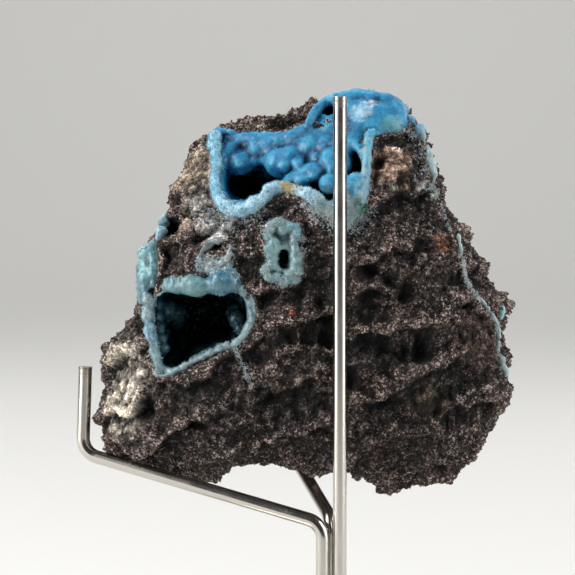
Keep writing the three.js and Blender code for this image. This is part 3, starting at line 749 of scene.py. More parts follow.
def skin_tree():
    """A crust's skin: it thins out raggedly at the rock, and small beads cover it. How far each point is from
    the crust's rim is kept for the colour."""
    tree, given = geometry_tree("Crust skin", {
        "Skin": "Float", "Border Sink": "Float", "Border Width": "Float", "Bare": "Float",
        "Bead Size": "Float", "Bead Height": "Float", "Rock": "Object", "Rims": "Object", "Rods": "Object",
        "Rod Clearance": "Float", "Material": "Material",
    })
    BULGE_ROUNDS = 40
    RAGGED = 1.6
    place = add(tree, "GeometryNodeInputPosition")
    rock = add(tree, "GeometryNodeObjectInfo", {"Object": given["Rock"]}, out="Geometry",
               transform_space="RELATIVE")
    apart = add(tree, "GeometryNodeProximity", {0: rock}, out="Distance", target_element="FACES")
    rims = add(tree, "GeometryNodeObjectInfo", {"Object": given["Rims"]}, out="Geometry",
               transform_space="RELATIVE")
    rim = add(tree, "GeometryNodeProximity", {0: rims}, out="Distance", target_element="POINTS")
    kept = keep(tree, given["Geometry"], "rim", rim)
    rate = add(tree, "ShaderNodeMath", {0: 1.0, 1: given["Border Width"]}, operation="DIVIDE")
    ragged = add(tree, "ShaderNodeTexNoise", {"Vector": place, "Scale": rate, "Detail": 3.0})
    ragged = add(tree, "ShaderNodeMath", {0: ragged, 1: 0.5}, operation="SUBTRACT")
    ragged = add(tree, "ShaderNodeMath", {0: ragged, 1: given["Border Width"]}, operation="MULTIPLY")
    apart = add(tree, "ShaderNodeMath", {0: ragged, 1: RAGGED, 2: apart}, operation="MULTIPLY_ADD")
    sink = add(tree, "ShaderNodeMath", {0: given["Border Sink"], 1: -1.0}, operation="MULTIPLY")
    full = add(tree, "ShaderNodeMath", {0: given["Bare"], 1: given["Border Width"]}, operation="ADD")
    skin = add(tree, "ShaderNodeMapRange", {0: apart, 1: given["Bare"], 2: full, 3: sink, 4: given["Skin"]})
    rate = add(tree, "ShaderNodeMath", {0: 1.0, 1: given["Bead Size"]}, operation="DIVIDE")
    bead = add(tree, "ShaderNodeTexVoronoi", {"Vector": place, "Scale": rate, "Smoothness": 0.4},
               feature="SMOOTH_F1")
    bead = add(tree, "ShaderNodeMapRange", {0: bead, 1: 0.1, 2: 0.7, 3: 1.0, 4: -1.0})
    height = add(tree, "ShaderNodeMath", {0: bead, 1: given["Bead Height"], 2: skin},
                 operation="MULTIPLY_ADD")
    normal = add(tree, "GeometryNodeInputNormal")
    offset = add(tree, "ShaderNodeVectorMath", {0: normal, "Scale": height}, operation="SCALE")
    shaped = add(tree, "GeometryNodeSetPosition", {"Geometry": kept, "Offset": offset})
    clear = push_clear(tree, shaped, given["Rods"], given["Rod Clearance"])
    kept = keep_bulge(tree, clear, "bulge", BULGE_ROUNDS)
    done = add(tree, "GeometryNodeSetMaterial", {"Geometry": kept, "Material": given["Material"]})
    add(tree, "NodeGroupOutput", {0: done})
    return tree


def rod_tree():
    """A round rod along a wire, as thick at each point as the wire says."""
    tree, given = geometry_tree("Bent rod", {"Radius": "Float", "Sides": "Int", "Material": "Material"})
    line = add(tree, "GeometryNodeMeshToCurve", {"Mesh": given["Geometry"]})
    thick = add(tree, "GeometryNodeInputNamedAttribute", {"Name": "thickness"}, data_type="FLOAT")
    line = add(tree, "GeometryNodeSetCurveRadius", {"Curve": line, "Radius": thick})
    ring = add(tree, "GeometryNodeCurvePrimitiveCircle", {"Resolution": given["Sides"],
                                                          "Radius": given["Radius"]})
    rod = add(tree, "GeometryNodeCurveToMesh", {"Curve": line, "Profile Curve": ring, "Fill Caps": True})
    done = add(tree, "GeometryNodeSetMaterial", {"Geometry": rod, "Material": given["Material"]})
    add(tree, "NodeGroupOutput", {0: done})
    return tree


# Materials

def new_material(name):
    """An empty node material with its shader and output, and the Object coordinates that its patterns use."""
    material = bpy.data.materials.new(name)
    material.use_nodes = True
    tree = material.node_tree
    tree.nodes.clear()
    shader = add(tree, "ShaderNodeBsdfPrincipled").node
    add(tree, "ShaderNodeOutputMaterial", {"Surface": shader.outputs[0]})
    return material, tree, shader, add(tree, "ShaderNodeTexCoord", out="Object")


def blend(tree, share, under, over, kind="MIX"):
    """One colour laid over another by a share."""
    return add(tree, "ShaderNodeMix", {0: share, 6: under, 7: over}, out=2, data_type="RGBA", blend_type=kind)


def wire_up(tree, shader, sockets):
    """Links patterns to the shader's sockets."""
    for socket, source in sockets.items():
        tree.links.new(source, shader.inputs[socket])


def stain_and_shade(tree, colour, place, spots, cover=1.0):
    """Lays soft-edged patches over a colour: real stains and tints, and painted shade and painted light. Each
    is a point, a reach in millimetres, a colour and a strength. Cover is the share of the strength that
    shows."""
    EDGE_SIZE = 1.6 * MM
    RAGGED = 0.45
    FULL_TO = 0.55
    GONE_AT = 1.1
    ragged = add(tree, "ShaderNodeTexNoise", {"Vector": place, "Scale": 1 / EDGE_SIZE, "Detail": 4.0,
                                              "Roughness": 0.7})
    for point, reach, hex_colour, strength in spots:
        away = add(tree, "ShaderNodeVectorMath", {0: place, 1: point}, out="Value", operation="DISTANCE")
        uneven = add(tree, "ShaderNodeMapRange", {0: ragged, 1: 0.25, 2: 0.75, 3: -RAGGED * reach * MM,
                                                  4: RAGGED * reach * MM})
        away = add(tree, "ShaderNodeMath", {0: away, 1: uneven}, operation="ADD")
        share = add(tree, "ShaderNodeMapRange", {0: away, 1: FULL_TO * reach * MM, 2: GONE_AT * reach * MM,
                                                 3: cover * strength, 4: 0.0})
        colour = blend(tree, share, colour, linear(hex_colour))
    return colour


def shade_recesses(tree, colour):
    """Paints shade into the rock's broad recesses and paints light onto its broad crests."""
    DEPTH = 1.2 * MM
    broad = add(tree, "ShaderNodeAttribute", out="Fac", attribute_name="broad")
    level = add(tree, "ShaderNodeMapRange", {0: broad, 1: -DEPTH, 2: DEPTH, 3: 0.13, 4: 1.87})
    return blend(tree, 1.0, colour, level, "MULTIPLY")


def matrix_material(settings, spots):
    """Limonite-stained sandstone matrix, broken: dull brown, salted with pale and near-black grains, with
    painted shade in the pits and painted light on the crests."""
    material, tree, shader, place = new_material("limonitic matrix rock, broken")
    PATCH_SIZE = 12 * MM
    GRAIN_SIZE = 0.6 * MM
    FINE_SIZE = 0.35 * MM
    PIT_DEPTH = 0.35 * MM
    OVER_GRAINS = 0.3
    patches = add(tree, "ShaderNodeTexNoise", {"Vector": place, "Scale": 1 / PATCH_SIZE, "Detail": 6.0,
                                               "Roughness": 0.65})
    share = add(tree, "ShaderNodeMapRange", {0: patches, 1: 0.4, 2: 0.6, 3: 0.0, 4: 1.0})
    colour = blend(tree, share, settings.dark, settings.brown)
    colour = stain_and_shade(tree, colour, place, spots)
    for size, pale_share, dark_share in ((GRAIN_SIZE, 0.7, 0.85), (FINE_SIZE, 0.7, 0.8)):
        grain = add(tree, "ShaderNodeTexVoronoi", {"Vector": place, "Scale": 1 / size}, out="Color")
        chance = add(tree, "ShaderNodeSeparateColor", {0: grain})
        pale = add(tree, "ShaderNodeMapRange", {0: chance, 1: 0.72, 2: 0.9, 3: 0.0, 4: pale_share})
        colour = blend(tree, pale, colour, settings.tan)
        dark = add(tree, "ShaderNodeMapRange", {0: chance.node.outputs[1], 1: 0.62, 2: 0.8, 3: 0.0,
                                                4: dark_share})
        colour = blend(tree, dark, colour, settings.black)
    colour = stain_and_shade(tree, colour, place, spots, OVER_GRAINS)
    # Painted shade in the pits and painted light on the crests, from how far each point stands out
    bulge = add(tree, "ShaderNodeAttribute", out="Fac", attribute_name="bulge")
    worn = add(tree, "ShaderNodeMapRange", {0: bulge, 1: -PIT_DEPTH, 2: PIT_DEPTH, 3: 0.1, 4: 2.0})
    colour = blend(tree, 1.0, colour, worn, "MULTIPLY")
    colour = shade_recesses(tree, colour)
    rough = add(tree, "ShaderNodeMapRange", {0: patches, 1: 0.3, 2: 0.7, 3: 0.95, 4: 0.75})
    fine = add(tree, "ShaderNodeTexNoise", {"Vector": place, "Scale": 1 / FINE_SIZE, "Detail": 4.0,
                                            "Roughness": 0.8})
    bump = add(tree, "ShaderNodeBump", {"Strength": 0.9, "Distance": 0.3 * MM, "Height": fine})
    shader.inputs["IOR"].default_value = 1.52
    wire_up(tree, shader, {"Base Color": colour, "Roughness": rough, "Normal": bump})
    return material


def grain_material(settings, spots):
    """Quartz and iron-oxide grains, broken: each grain one tone, from near black to pale tan, under the same
    stains, painted shade and painted light as the rock."""
    material, tree, shader, place = new_material("quartz and oxide grains, broken")
    CLOUD_SIZE = 7 * MM
    OVER_GRAINS = 0.6
    tone = add(tree, "ShaderNodeAttribute", out="Fac", attribute_name="tone")
    cloud = add(tree, "ShaderNodeTexNoise", {"Vector": place, "Scale": 1 / CLOUD_SIZE, "Detail": 3.0})
    shift = add(tree, "ShaderNodeMapRange", {0: cloud, 1: 0.3, 2: 0.7, 3: -0.25, 4: 0.25})
    tone = add(tree, "ShaderNodeMath", {0: tone, 1: shift}, operation="ADD")
    colour = settings.black
    steps = ((0.15, 0.3, settings.dark), (0.4, 0.6, settings.brown), (0.75, 0.88, settings.tan),
             (0.95, 1.1, settings.pale))
    for low, high, shade in steps:
        share = add(tree, "ShaderNodeMapRange", {0: tone, 1: low, 2: high, 3: 0.0, 4: 1.0})
        colour = blend(tree, share, colour, shade)
    colour = stain_and_shade(tree, colour, place, spots, OVER_GRAINS)
    colour = shade_recesses(tree, colour)
    rough = add(tree, "ShaderNodeMapRange", {0: tone, 1: 0.0, 2: 1.0, 3: 0.9, 4: 0.6})
    shader.inputs["IOR"].default_value = 1.54
    wire_up(tree, shader, {"Base Color": colour, "Roughness": rough})
    return material


def crust_material(name, body, deep, light, rim, rim_width, spots, polish=1.0):
    """Hemimorphite crust, grown in a hollow: waxy and slightly see-through lobes, with painted shade in the
    creases and painted light on their tops, and a pale sugary rim."""
    material, tree, shader, place = new_material(name)
    PATCH_SIZE = 5 * MM
    SUGAR_SIZE = 0.6 * MM
    LOBE_RISE = 0.3 * MM
    CREASE_DEPTH = 0.36 * MM
    RIM_WAVER = 0.8 * MM
    patches = add(tree, "ShaderNodeTexNoise", {"Vector": place, "Scale": 1 / PATCH_SIZE, "Detail": 4.0,
                                               "Roughness": 0.6})
    bulge = add(tree, "ShaderNodeAttribute", out="Fac", attribute_name="bulge")
    # Painted light on the lobes' tops and painted shade in their creases, mixed in with the patches
    lobe_light_and_shade = add(tree, "ShaderNodeMapRange", {0: bulge, 1: -LOBE_RISE, 2: LOBE_RISE, 3: -0.16, 4: 0.16})
    level = add(tree, "ShaderNodeMath", {0: patches, 1: lobe_light_and_shade}, operation="ADD")
    share = add(tree, "ShaderNodeMapRange", {0: level, 1: 0.34, 2: 0.52, 3: 0.0, 4: 1.0})
    colour = blend(tree, share, deep, body)
    share = add(tree, "ShaderNodeMapRange", {0: level, 1: 0.56, 2: 0.78, 3: 0.0, 4: 0.7})
    colour = blend(tree, share, colour, light)
    edge = add(tree, "ShaderNodeAttribute", out="Fac", attribute_name="rim")
    uneven = add(tree, "ShaderNodeMapRange", {0: patches, 1: 0.3, 2: 0.7, 3: RIM_WAVER, 4: -RIM_WAVER})
    edge = add(tree, "ShaderNodeMath", {0: edge, 1: uneven}, operation="ADD")
    share = add(tree, "ShaderNodeMapRange", {0: edge, 1: 0.6 * rim_width * MM, 2: 1.3 * rim_width * MM,
                                             3: 0.7, 4: 0.0})
    colour = blend(tree, share, colour, rim)
    colour = stain_and_shade(tree, colour, place, spots)
    sugar = add(tree, "ShaderNodeTexVoronoi", {"Vector": place, "Scale": 1 / SUGAR_SIZE}, out="Color")
    sugar = add(tree, "ShaderNodeSeparateColor", {0: sugar})
    speck = add(tree, "ShaderNodeMapRange", {0: sugar, 1: 0.7, 2: 1.0, 3: 0.0, 4: 0.3})
    colour = blend(tree, speck, colour, light)
    pit = add(tree, "ShaderNodeMapRange", {0: sugar.node.outputs[2], 1: 0.86, 2: 0.96, 3: 0.0, 4: 0.4})
    colour = blend(tree, pit, colour, deep)
    # Painted shade darkens the creases
    crease_shade = add(tree, "ShaderNodeMapRange", {0: bulge, 1: -CREASE_DEPTH, 2: 0.1 * MM, 3: 0.2, 4: 1.0})
    colour = blend(tree, 1.0, colour, crease_shade, "MULTIPLY")
    value = add(tree, "ShaderNodeRGBToBW", {0: colour})
    gloss = add(tree, "ShaderNodeMapRange", {0: value, 1: 0.0, 2: 0.1, 3: 0.0, 4: 0.5})
    rough = add(tree, "ShaderNodeMapRange", {0: sugar.node.outputs[1], 1: 0.0, 2: 1.0, 3: 0.5 - 0.36 * polish,
                                              4: 0.72 - 0.22 * polish})
    fine = add(tree, "ShaderNodeTexNoise", {"Vector": place, "Scale": 1 / SUGAR_SIZE, "Detail": 4.0,
                                            "Roughness": 0.7})
    bump = add(tree, "ShaderNodeBump", {"Strength": 0.35, "Distance": 0.2 * MM, "Height": fine})
    wet = add(tree, "ShaderNodeMapRange", {0: value, 1: 0.02, 2: 0.15, 3: 0.0, 4: 0.22 * polish})
    shader.inputs["IOR"].default_value = 1.62
    shader.inputs["Coat IOR"].default_value = 1.62
    shader.inputs["Coat Roughness"].default_value = 0.14
    shader.inputs["Subsurface Weight"].default_value = 0.25
    shader.inputs["Subsurface Radius"].default_value = (0.4, 0.9, 1.0)
    shader.inputs["Subsurface Scale"].default_value = 1.2 * MM
    wire_up(tree, shader, {"Base Color": colour, "Roughness": rough, "Normal": bump,
                           "Specular IOR Level": gloss, "Coat Weight": wet})
    return material


def crystal_material(name, clear, tinted, spots):
    """Hemimorphite crystals, grown free: glassy points, from nearly clear to the colour of the crust below,
    with ochre and green stains."""
    material, tree, shader, place = new_material(name)
    CLOUD_SIZE = 4 * MM
    tone = add(tree, "ShaderNodeAttribute", out="Fac", attribute_name="tone")
    cloud = add(tree, "ShaderNodeTexNoise", {"Vector": place, "Scale": 1 / CLOUD_SIZE, "Detail": 3.0})
    shift = add(tree, "ShaderNodeMapRange", {0: cloud, 1: 0.3, 2: 0.7, 3: -0.4, 4: 0.4})
    tone = add(tree, "ShaderNodeMath", {0: tone, 1: shift}, operation="ADD")
    colour = blend(tree, tone, tinted, clear)
    colour = stain_and_shade(tree, colour, place, spots)
    rough = add(tree, "ShaderNodeMapRange", {0: tone, 1: 0.0, 2: 1.0, 3: 0.35, 4: 0.15})
    shader.inputs["IOR"].default_value = 1.62
    shader.inputs["Transmission Weight"].default_value = 0.3
    wire_up(tree, shader, {"Base Color": colour, "Roughness": rough})
    return material


def rod_material(settings):
    """Stainless steel, drawn: satin, with fine lines along the rod and dull scuffed ends."""
    material, tree, shader, place = new_material("stainless steel, drawn")
    LINE_SIZE = 0.18 * MM
    CLOUD_SIZE = 5 * MM
    GRIME_SIZE = 0.7 * MM
    streak = add(tree, "ShaderNodeMapping", {"Vector": place, "Scale": (1.0, 1.0, 0.02)})
    lines = add(tree, "ShaderNodeTexNoise", {"Vector": streak, "Scale": 1 / LINE_SIZE, "Detail": 2.0})
    cloud = add(tree, "ShaderNodeTexNoise", {"Vector": place, "Scale": 1 / CLOUD_SIZE, "Detail": 4.0})
    rough = add(tree, "ShaderNodeMapRange", {0: lines, 1: 0.3, 2: 0.7, 3: 0.13, 4: 0.22})
    smear = add(tree, "ShaderNodeMapRange", {0: cloud, 1: 0.35, 2: 0.7, 3: -0.03, 4: 0.08})
    rough = add(tree, "ShaderNodeMath", {0: rough, 1: smear}, operation="ADD")
    worn = add(tree, "ShaderNodeAttribute", out="Fac", attribute_name="worn")
    grime = add(tree, "ShaderNodeTexNoise", {"Vector": place, "Scale": 1 / GRIME_SIZE, "Detail": 4.0})
    grime = add(tree, "ShaderNodeMapRange", {0: grime, 1: 0.4, 2: 0.6, 3: 0.2, 4: 1.0})
    worn = add(tree, "ShaderNodeMath", {0: worn, 1: grime}, operation="MULTIPLY")
    colour = blend(tree, worn, settings.steel, settings.scuffed)
    dull = add(tree, "ShaderNodeMath", {0: worn, 1: 0.25}, operation="MULTIPLY")
    rough = add(tree, "ShaderNodeMath", {0: rough, 1: dull}, operation="ADD")
    bump = add(tree, "ShaderNodeBump", {"Strength": 0.12, "Distance": 0.05 * MM, "Height": lines})
    shader.inputs["Metallic"].default_value = 1.0
    wire_up(tree, shader, {"Base Color": colour, "Roughness": rough, "Normal": bump})
    return material


def foot_material(settings):
    """Stainless steel, turned: satin, with fine rings from the lathe."""
    material, tree, shader, place = new_material("stainless steel, turned")
    RING_SIZE = 0.45 * MM
    CLOUD_SIZE = 12 * MM
    flat = add(tree, "ShaderNodeVectorMath", {0: place, 1: (1, 1, 0)}, operation="MULTIPLY")
    radius = add(tree, "ShaderNodeVectorMath", {0: flat}, out="Value", operation="LENGTH")
    rings = add(tree, "ShaderNodeTexNoise", {"W": radius, "Scale": 1 / RING_SIZE, "Detail": 3.0},
                noise_dimensions="1D")
    cloud = add(tree, "ShaderNodeTexNoise", {"Vector": place, "Scale": 1 / CLOUD_SIZE, "Detail": 4.0})
    rough = add(tree, "ShaderNodeMapRange", {0: rings, 1: 0.3, 2: 0.7, 3: 0.26, 4: 0.4})
    smear = add(tree, "ShaderNodeMapRange", {0: cloud, 1: 0.35, 2: 0.7, 3: -0.04, 4: 0.08})
    rough = add(tree, "ShaderNodeMath", {0: rough, 1: smear}, operation="ADD")
    bump = add(tree, "ShaderNodeBump", {"Strength": 0.08, "Distance": 0.03 * MM, "Height": rings})
    shader.inputs["Base Color"].default_value = settings.steel
    shader.inputs["Metallic"].default_value = 1.0
    wire_up(tree, shader, {"Roughness": rough, "Normal": bump})
    return material


def floor_material(settings):
    """Matt background paper: even and pale, with a faint tooth."""
    material, tree, shader, place = new_material("background paper, matt")
    TOOTH_SIZE = 1.5 * MM
    tooth = add(tree, "ShaderNodeTexNoise", {"Vector": place, "Scale": 1 / TOOTH_SIZE, "Detail": 3.0})
    bump = add(tree, "ShaderNodeBump", {"Strength": 0.1, "Distance": 0.1 * MM, "Height": tooth})
    shader.inputs["Base Color"].default_value = settings.floor
    shader.inputs["Roughness"].default_value = 0.9
    wire_up(tree, shader, {"Normal": bump})
    return material


# Upper crust: rim round the hollow, lobes that hang in it and stand on its floor, and the crown. Each
# place is across, up and radius, and for lobes in a hollow how far behind its mouth they end.
UPPER_RIM = [
    (-16.4, 34.0, 1.4), (-16.3, 32.1, 1.3), (-16.1, 29.4, 1.0), (-16.1, 26.7, 0.9), (-16.5, 23.3, 0.9),
    (-15.4, 19.6, 1.25), (-12.7, 17.0, 1.6), (-8.7, 17.6, 1.55), (-5.7, 19.7, 1.3), (-3.7, 22.2, 1.1),
    (-1.2, 22.9, 1.0), (1.7, 21.9, 1.0), (4.6, 21.0, 1.0), (7.5, 19.9, 1.0),
]
WHITE_RIM = [
    (-14.5, 17.8), (-12.0, 16.6), (-9.2, 16.8), (-6.6, 18.4), (-4.6, 20.6), (3.6, 20.4), (6.6, 19.4),
]
SUGARY_ZONE = [
    (7.5, 18.6, 1), (10, 18.2, 1), (12.5, 17.6, 1), (15, 18.6, 1), (16.4, 17, 1), (11, 16.2, 1),
    (14, 15.8, 1),
]
UPPER_TOP_RIM = [(-16.2, 34.4, 1.2), (-15.2, 34.9, 0.9), (-13.6, 35.0, 0.6), (-12.0, 35.0, 0.4)]
UPPER_CURTAIN = [
    (-10.5, 28.0, 2.8, 3.0), (-11.1, 33.2, 2.7, 3.5), (-13.6, 32.6, 2.2, 4.5), (-7.3, 34.1, 2.4, 2.0),
    (-6.0, 30.7, 3.0, 2.2), (-8.4, 31.6, 2.4, 3.2), (-1.9, 28.0, 3.2, 1.6), (0.8, 28.7, 3.2, 1.4),
    (-0.3, 32.3, 2.8, 1.6), (-3.5, 33.4, 2.6, 1.6), (-3.6, 30.4, 2.6, 2.2), (5.3, 30.9, 3.3, 1.0),
    (2.1, 34.3, 2.6, 1.0), (6.0, 35.2, 2.6, 0.6), (8.9, 31.8, 2.5, 0.8), (9.3, 29.1, 2.0, 0.8),
    (9.6, 27.2, 1.3, 1.2), (9.8, 35.4, 2.6, 0.4), (12.9, 34.8, 2.7, 0.3), (16.1, 34.8, 2.8, 0.3),
    (12.0, 30.9, 2.4, 1.0), (12.5, 27.6, 2.0, 2.5), (18.6, 35.8, 2.2, 0.3), (-12.4, 33.4, 2.2, 1.4),
    (-9.6, 33.2, 2.2, 1.2), (-7.0, 32.6, 2.4, 1.0), (-4.4, 32.0, 2.4, 0.9), (-1.8, 32.6, 2.4, 0.8),
    (0.9, 33.2, 2.4, 0.6), (3.6, 34.4, 2.6, 0.5), (3.0, 31.4, 2.6, 1.6), (-8.6, 29.6, 2.2, 3.2),
]
UPPER_FLOOR = [
    (1.0, 23.7, 2.0, 3.6), (3.2, 24.8, 2.1, 3.0), (5.2, 25.9, 2.2, 2.5), (6.6, 26.4, 2.0, 2.3),
    (9.3, 23.3, 2.2, 1.5), (12.9, 22.8, 2.0, 1.5), (15.4, 24.0, 1.7, 1.5), (14.5, 21.9, 1.8, 1.0),
]
UPPER_PILLAR = [
    (19.0, 34.6, 1.2), (18.3, 32.7, 1.1), (17.9, 30.5, 0.9), (17.9, 28.0, 0.9), (17.7, 25.5, 0.9),
    (17.0, 23.1, 1.0), (15.9, 21.0, 1.1),
]
CROWN_LOBES = [
    (12.6, 41.6, 2.6), (15.6, 41.9, 3.0), (18.8, 41.2, 3.0), (21.8, 40.9, 3.0), (24.0, 39.2, 2.8),
    (25.0, 36.8, 2.5), (24.0, 35.4, 2.0), (14.4, 39.2, 3.0), (17.6, 39.2, 3.2), (20.8, 38.2, 3.4),
    (22.6, 36.4, 2.8), (19.6, 36.0, 2.6), (16.4, 37.2, 2.4),
]
CROWN_ARCH = [
    (4.8, 36.9, 0.8), (5.5, 38.2, 0.9), (6.4, 39.7, 0.95), (7.6, 41.0, 1.0), (9.2, 42.1, 1.0),
    (11.0, 42.6, 1.1),
]

# Lower crust: thin toothed rim, crumbly left rim, lobes that overhang the hollow, and lumps beside it
LOWER_RIM = [
    (-12.3, 3.9, 0.7), (-10.9, 1.5, 0.8), (-10.2, -0.3, 0.8), (-8.4, -1.7, 0.7), (-7.3, -4.2, 0.7),
    (-7.5, -6.4, 0.7), (-8.8, -8.7, 0.6), (-10.2, -10.9, 0.6), (-11.6, -12.6, 0.7), (-13.6, -13.2, 0.6),
    (-15.9, -14.2, 0.6), (-17.4, -15.0, 0.6), (-19.0, -15.9, 0.6), (-20.6, -16.4, 0.6), (-22.8, -17.6, 0.6),
    (-25.1, -19.0, 0.6), (-28.2, -19.9, 0.6), (-29.8, -19.2, 0.6),
]
LOWER_LEFT_RIM = [
    (-29.8, -19.2, 0.8), (-29.4, -17.2, 0.8), (-30.2, -15.2, 0.8), (-30.7, -12.9, 0.8), (-30.9, -10.5, 0.8),
    (-31.2, -7.5, 0.9), (-31.6, -5.5, 0.8), (-31.4, -3.7, 0.8), (-31.6, -1.9, 0.8),
]
LOWER_OVERHANG = [
    (-27.6, 0.3, 1.0), (-26.0, 0.2, 1.25), (-24.6, -0.1, 1.35), (-22.6, 0.4, 1.9), (-21.0, 0.2, 2.2),
    (-19.5, 0.3, 2.0), (-16.5, 0.8, 2.0), (-15.0, 1.2, 2.7), (-13.2, 1.0, 2.1), (-11.8, 1.5, 1.35),
    (-15.9, 3.5, 1.6), (-13.4, 3.3, 1.7), (-27.4, 1.5, 1.0), (-25.6, 1.6, 1.3), (-23.9, 1.5, 1.3),
    (-21.8, 2.0, 1.5), (-20.2, 1.9, 1.3),
]
LOWER_WALL = [
    (-29.6, -1.6, 1.5, 5.0), (-29.5, -4.0, 1.6, 4.6), (-29.3, -6.6, 1.6, 4.2), (-28.9, -9.2, 1.5, 3.8),
    (-28.4, -11.6, 1.4, 3.4), (-27.7, -13.8, 1.2, 3.0),
]
LOWER_INSIDE = [
    (-11.4, -7.2, 1.7, 6.5), (-10.6, -9.2, 1.2, 6.0), (-27.0, -5.1, 2.3, 7.5), (-28.8, -10.6, 1.5, 5.0),
    (-28.4, -13.4, 1.3, 4.5),
]
COLUMN = [
    (-29.4, 9.8, 1.0), (-30.7, 8.8, 1.5), (-31.4, 7.2, 1.8), (-31.8, 5.6, 1.4), (-31.6, 4.2, 1.3),
    (-31.6, 2.4, 1.9), (-31.7, 0.9, 1.9), (-31.6, -0.8, 1.5),
]
COLUMN_SIDE = [
    (-29.8, 8.2, 0.9), (-30.0, 6.0, 0.9), (-30.0, 3.9, 0.9), (-29.8, 1.9, 0.9), (-30.0, 0.1, 0.9),
]
LEFT_LUMPS = [(-27.8, 14.6, 1.3), (-28.2, 12.4, 1.4), (-27.2, 16.0, 0.9), (-28.8, 11.0, 1.0)]
TAN_LUMPS = [
    (-22.6, 15.6, 1.4), (-23.5, 14.1, 1.0), (-21.5, 14.5, 0.9), (-23.5, 12.3, 1.0), (-19.5, 14.1, 1.1),
    (-21.0, 12.9, 0.9),
]
SLIT_BAND = [
    (-20.5, 4.0, 0.6), (-19.8, 5.9, 0.7), (-19.0, 7.8, 0.7), (-18.3, 9.2, 0.8), (-16.8, 10.3, 0.8),
    (-15.3, 10.8, 0.7), (-14.0, 10.8, 0.5),
]
SLIT_LOBES = [
    (-18.6, 5.2, 1.1), (-16.9, 5.2, 1.2), (-15.2, 5.3, 1.3), (-13.6, 6.0, 1.3), (-12.9, 7.6, 1.2),
    (-12.7, 9.0, 0.9), (-14.6, 6.8, 0.9), (-19.4, 3.9, 1.0), (-17.6, 3.7, 1.1), (-15.6, 3.6, 1.2),
    (-13.8, 3.9, 1.1), (-12.6, 4.8, 1.0),
]

# Frame of the small pocket, and the seam down the right edge
POCKET_RIM = [
    (-4.4, 13.8, 1.1), (-2.6, 14.3, 1.1), (-0.8, 13.8, 1.2), (1.2, 14.3, 1.1), (2.4, 13.4, 1.0),
    (1.9, 11.1, 1.1), (2.1, 8.9, 1.2), (2.6, 6.6, 1.2), (2.8, 4.4, 1.4), (1.9, 2.6, 1.4), (0.1, 1.9, 1.2),
    (-2.1, 1.7, 1.2), (-3.9, 2.4, 1.2), (-4.6, 3.9, 1.1), (-3.9, 5.7, 1.2), (-3.5, 8.0, 1.2),
    (-3.9, 10.2, 1.1), (-4.4, 12.0, 1.0), (-4.4, 13.8, 1.1),
]
UPPER_SEAM = [
    (27.3, 38.1, 0.7), (28.0, 37.2, 1.0), (28.9, 36.1, 1.1), (29.6, 34.8, 1.0), (30.5, 33.2, 0.5),
    (31.4, 31.6, 0.6), (31.8, 29.8, 0.8), (32.3, 28.0, 0.9), (32.5, 26.2, 0.8), (32.7, 24.4, 0.5),
]
RIGHT_SEAM = [
    (38.1, 12.5, 0.4), (38.6, 10.7, 0.4), (39.0, 8.4, 0.4), (39.5, 6.4, 0.4), (39.7, 4.4, 0.7),
    (39.9, 2.4, 0.8), (40.6, 0.8, 0.6), (41.5, -0.6, 0.4), (43.3, -2.6, 0.4), (44.9, -4.8, 0.5),
    (46.2, -6.4, 0.5), (47.1, -7.8, 0.5), (47.6, -9.6, 0.4), (47.6, -11.8, 0.4), (47.4, -14.1, 0.4),
    (47.8, -15.6, 0.8), (48.5, -17.4, 0.8), (48.9, -19.0, 0.8), (49.6, -20.4, 0.5),
]
SEAM_LUMPS = [(47.9, -5.6, 1.2), (48.1, -4.7, 1.0), (47.8, -6.6, 1.0)]

# Rock: the tan knob under the crown, and the crests of the ledges
KNOB = [(22.8, 27.6, 5.0), (25.3, 29.1, 3.6), (21.5, 25.1, 3.4), (26.4, 26.0, 3.4)]
LEDGES = [
    [(14.3, -24.2, 1.8), (18.1, -22.4, 1.8), (22.2, -21.0, 1.8), (26.7, -18.3, 1.8), (31.2, -17.2, 1.6),
     (35.7, -16.3, 1.6), (39.7, -13.6, 1.6)],
    [(29.4, -31.6, 1.6), (33.4, -29.6, 1.8), (37.5, -25.5, 1.8), (41.1, -23.7, 1.8), (44.9, -21.9, 1.6)],
    [(14.7, -10.0, 1.6), (19.9, -9.3, 1.6), (25.5, -9.1, 1.8), (31.8, -8.9, 1.8), (35.7, -6.9, 1.6)],
    [(-2.6, -15.2, 1.4), (0.6, -13.2, 1.6), (3.3, -12.0, 1.8), (6.4, -13.2, 1.8), (9.1, -14.3, 1.6)],
    [(2.8, -31.4, 1.1), (4.8, -30.7, 1.4), (7.3, -29.8, 1.4), (10.0, -28.7, 1.4)],
]

# Recesses pushed into the rock, which also get painted shade
DIPS = [
    (7.8, -3.6), (8.6, -7.0), (18.5, 3.3), (22.5, 1.6), (26.5, -0.9), (17.0, -12.5), (21.5, -13.0),
    (26.0, -13.6), (30.0, -14.6), (0.5, -11.6), (4.5, -12.0), (8.4, -11.6), (-32.0, -28.0), (14.0, -20.5),
    (-5.0, -24.5),
]

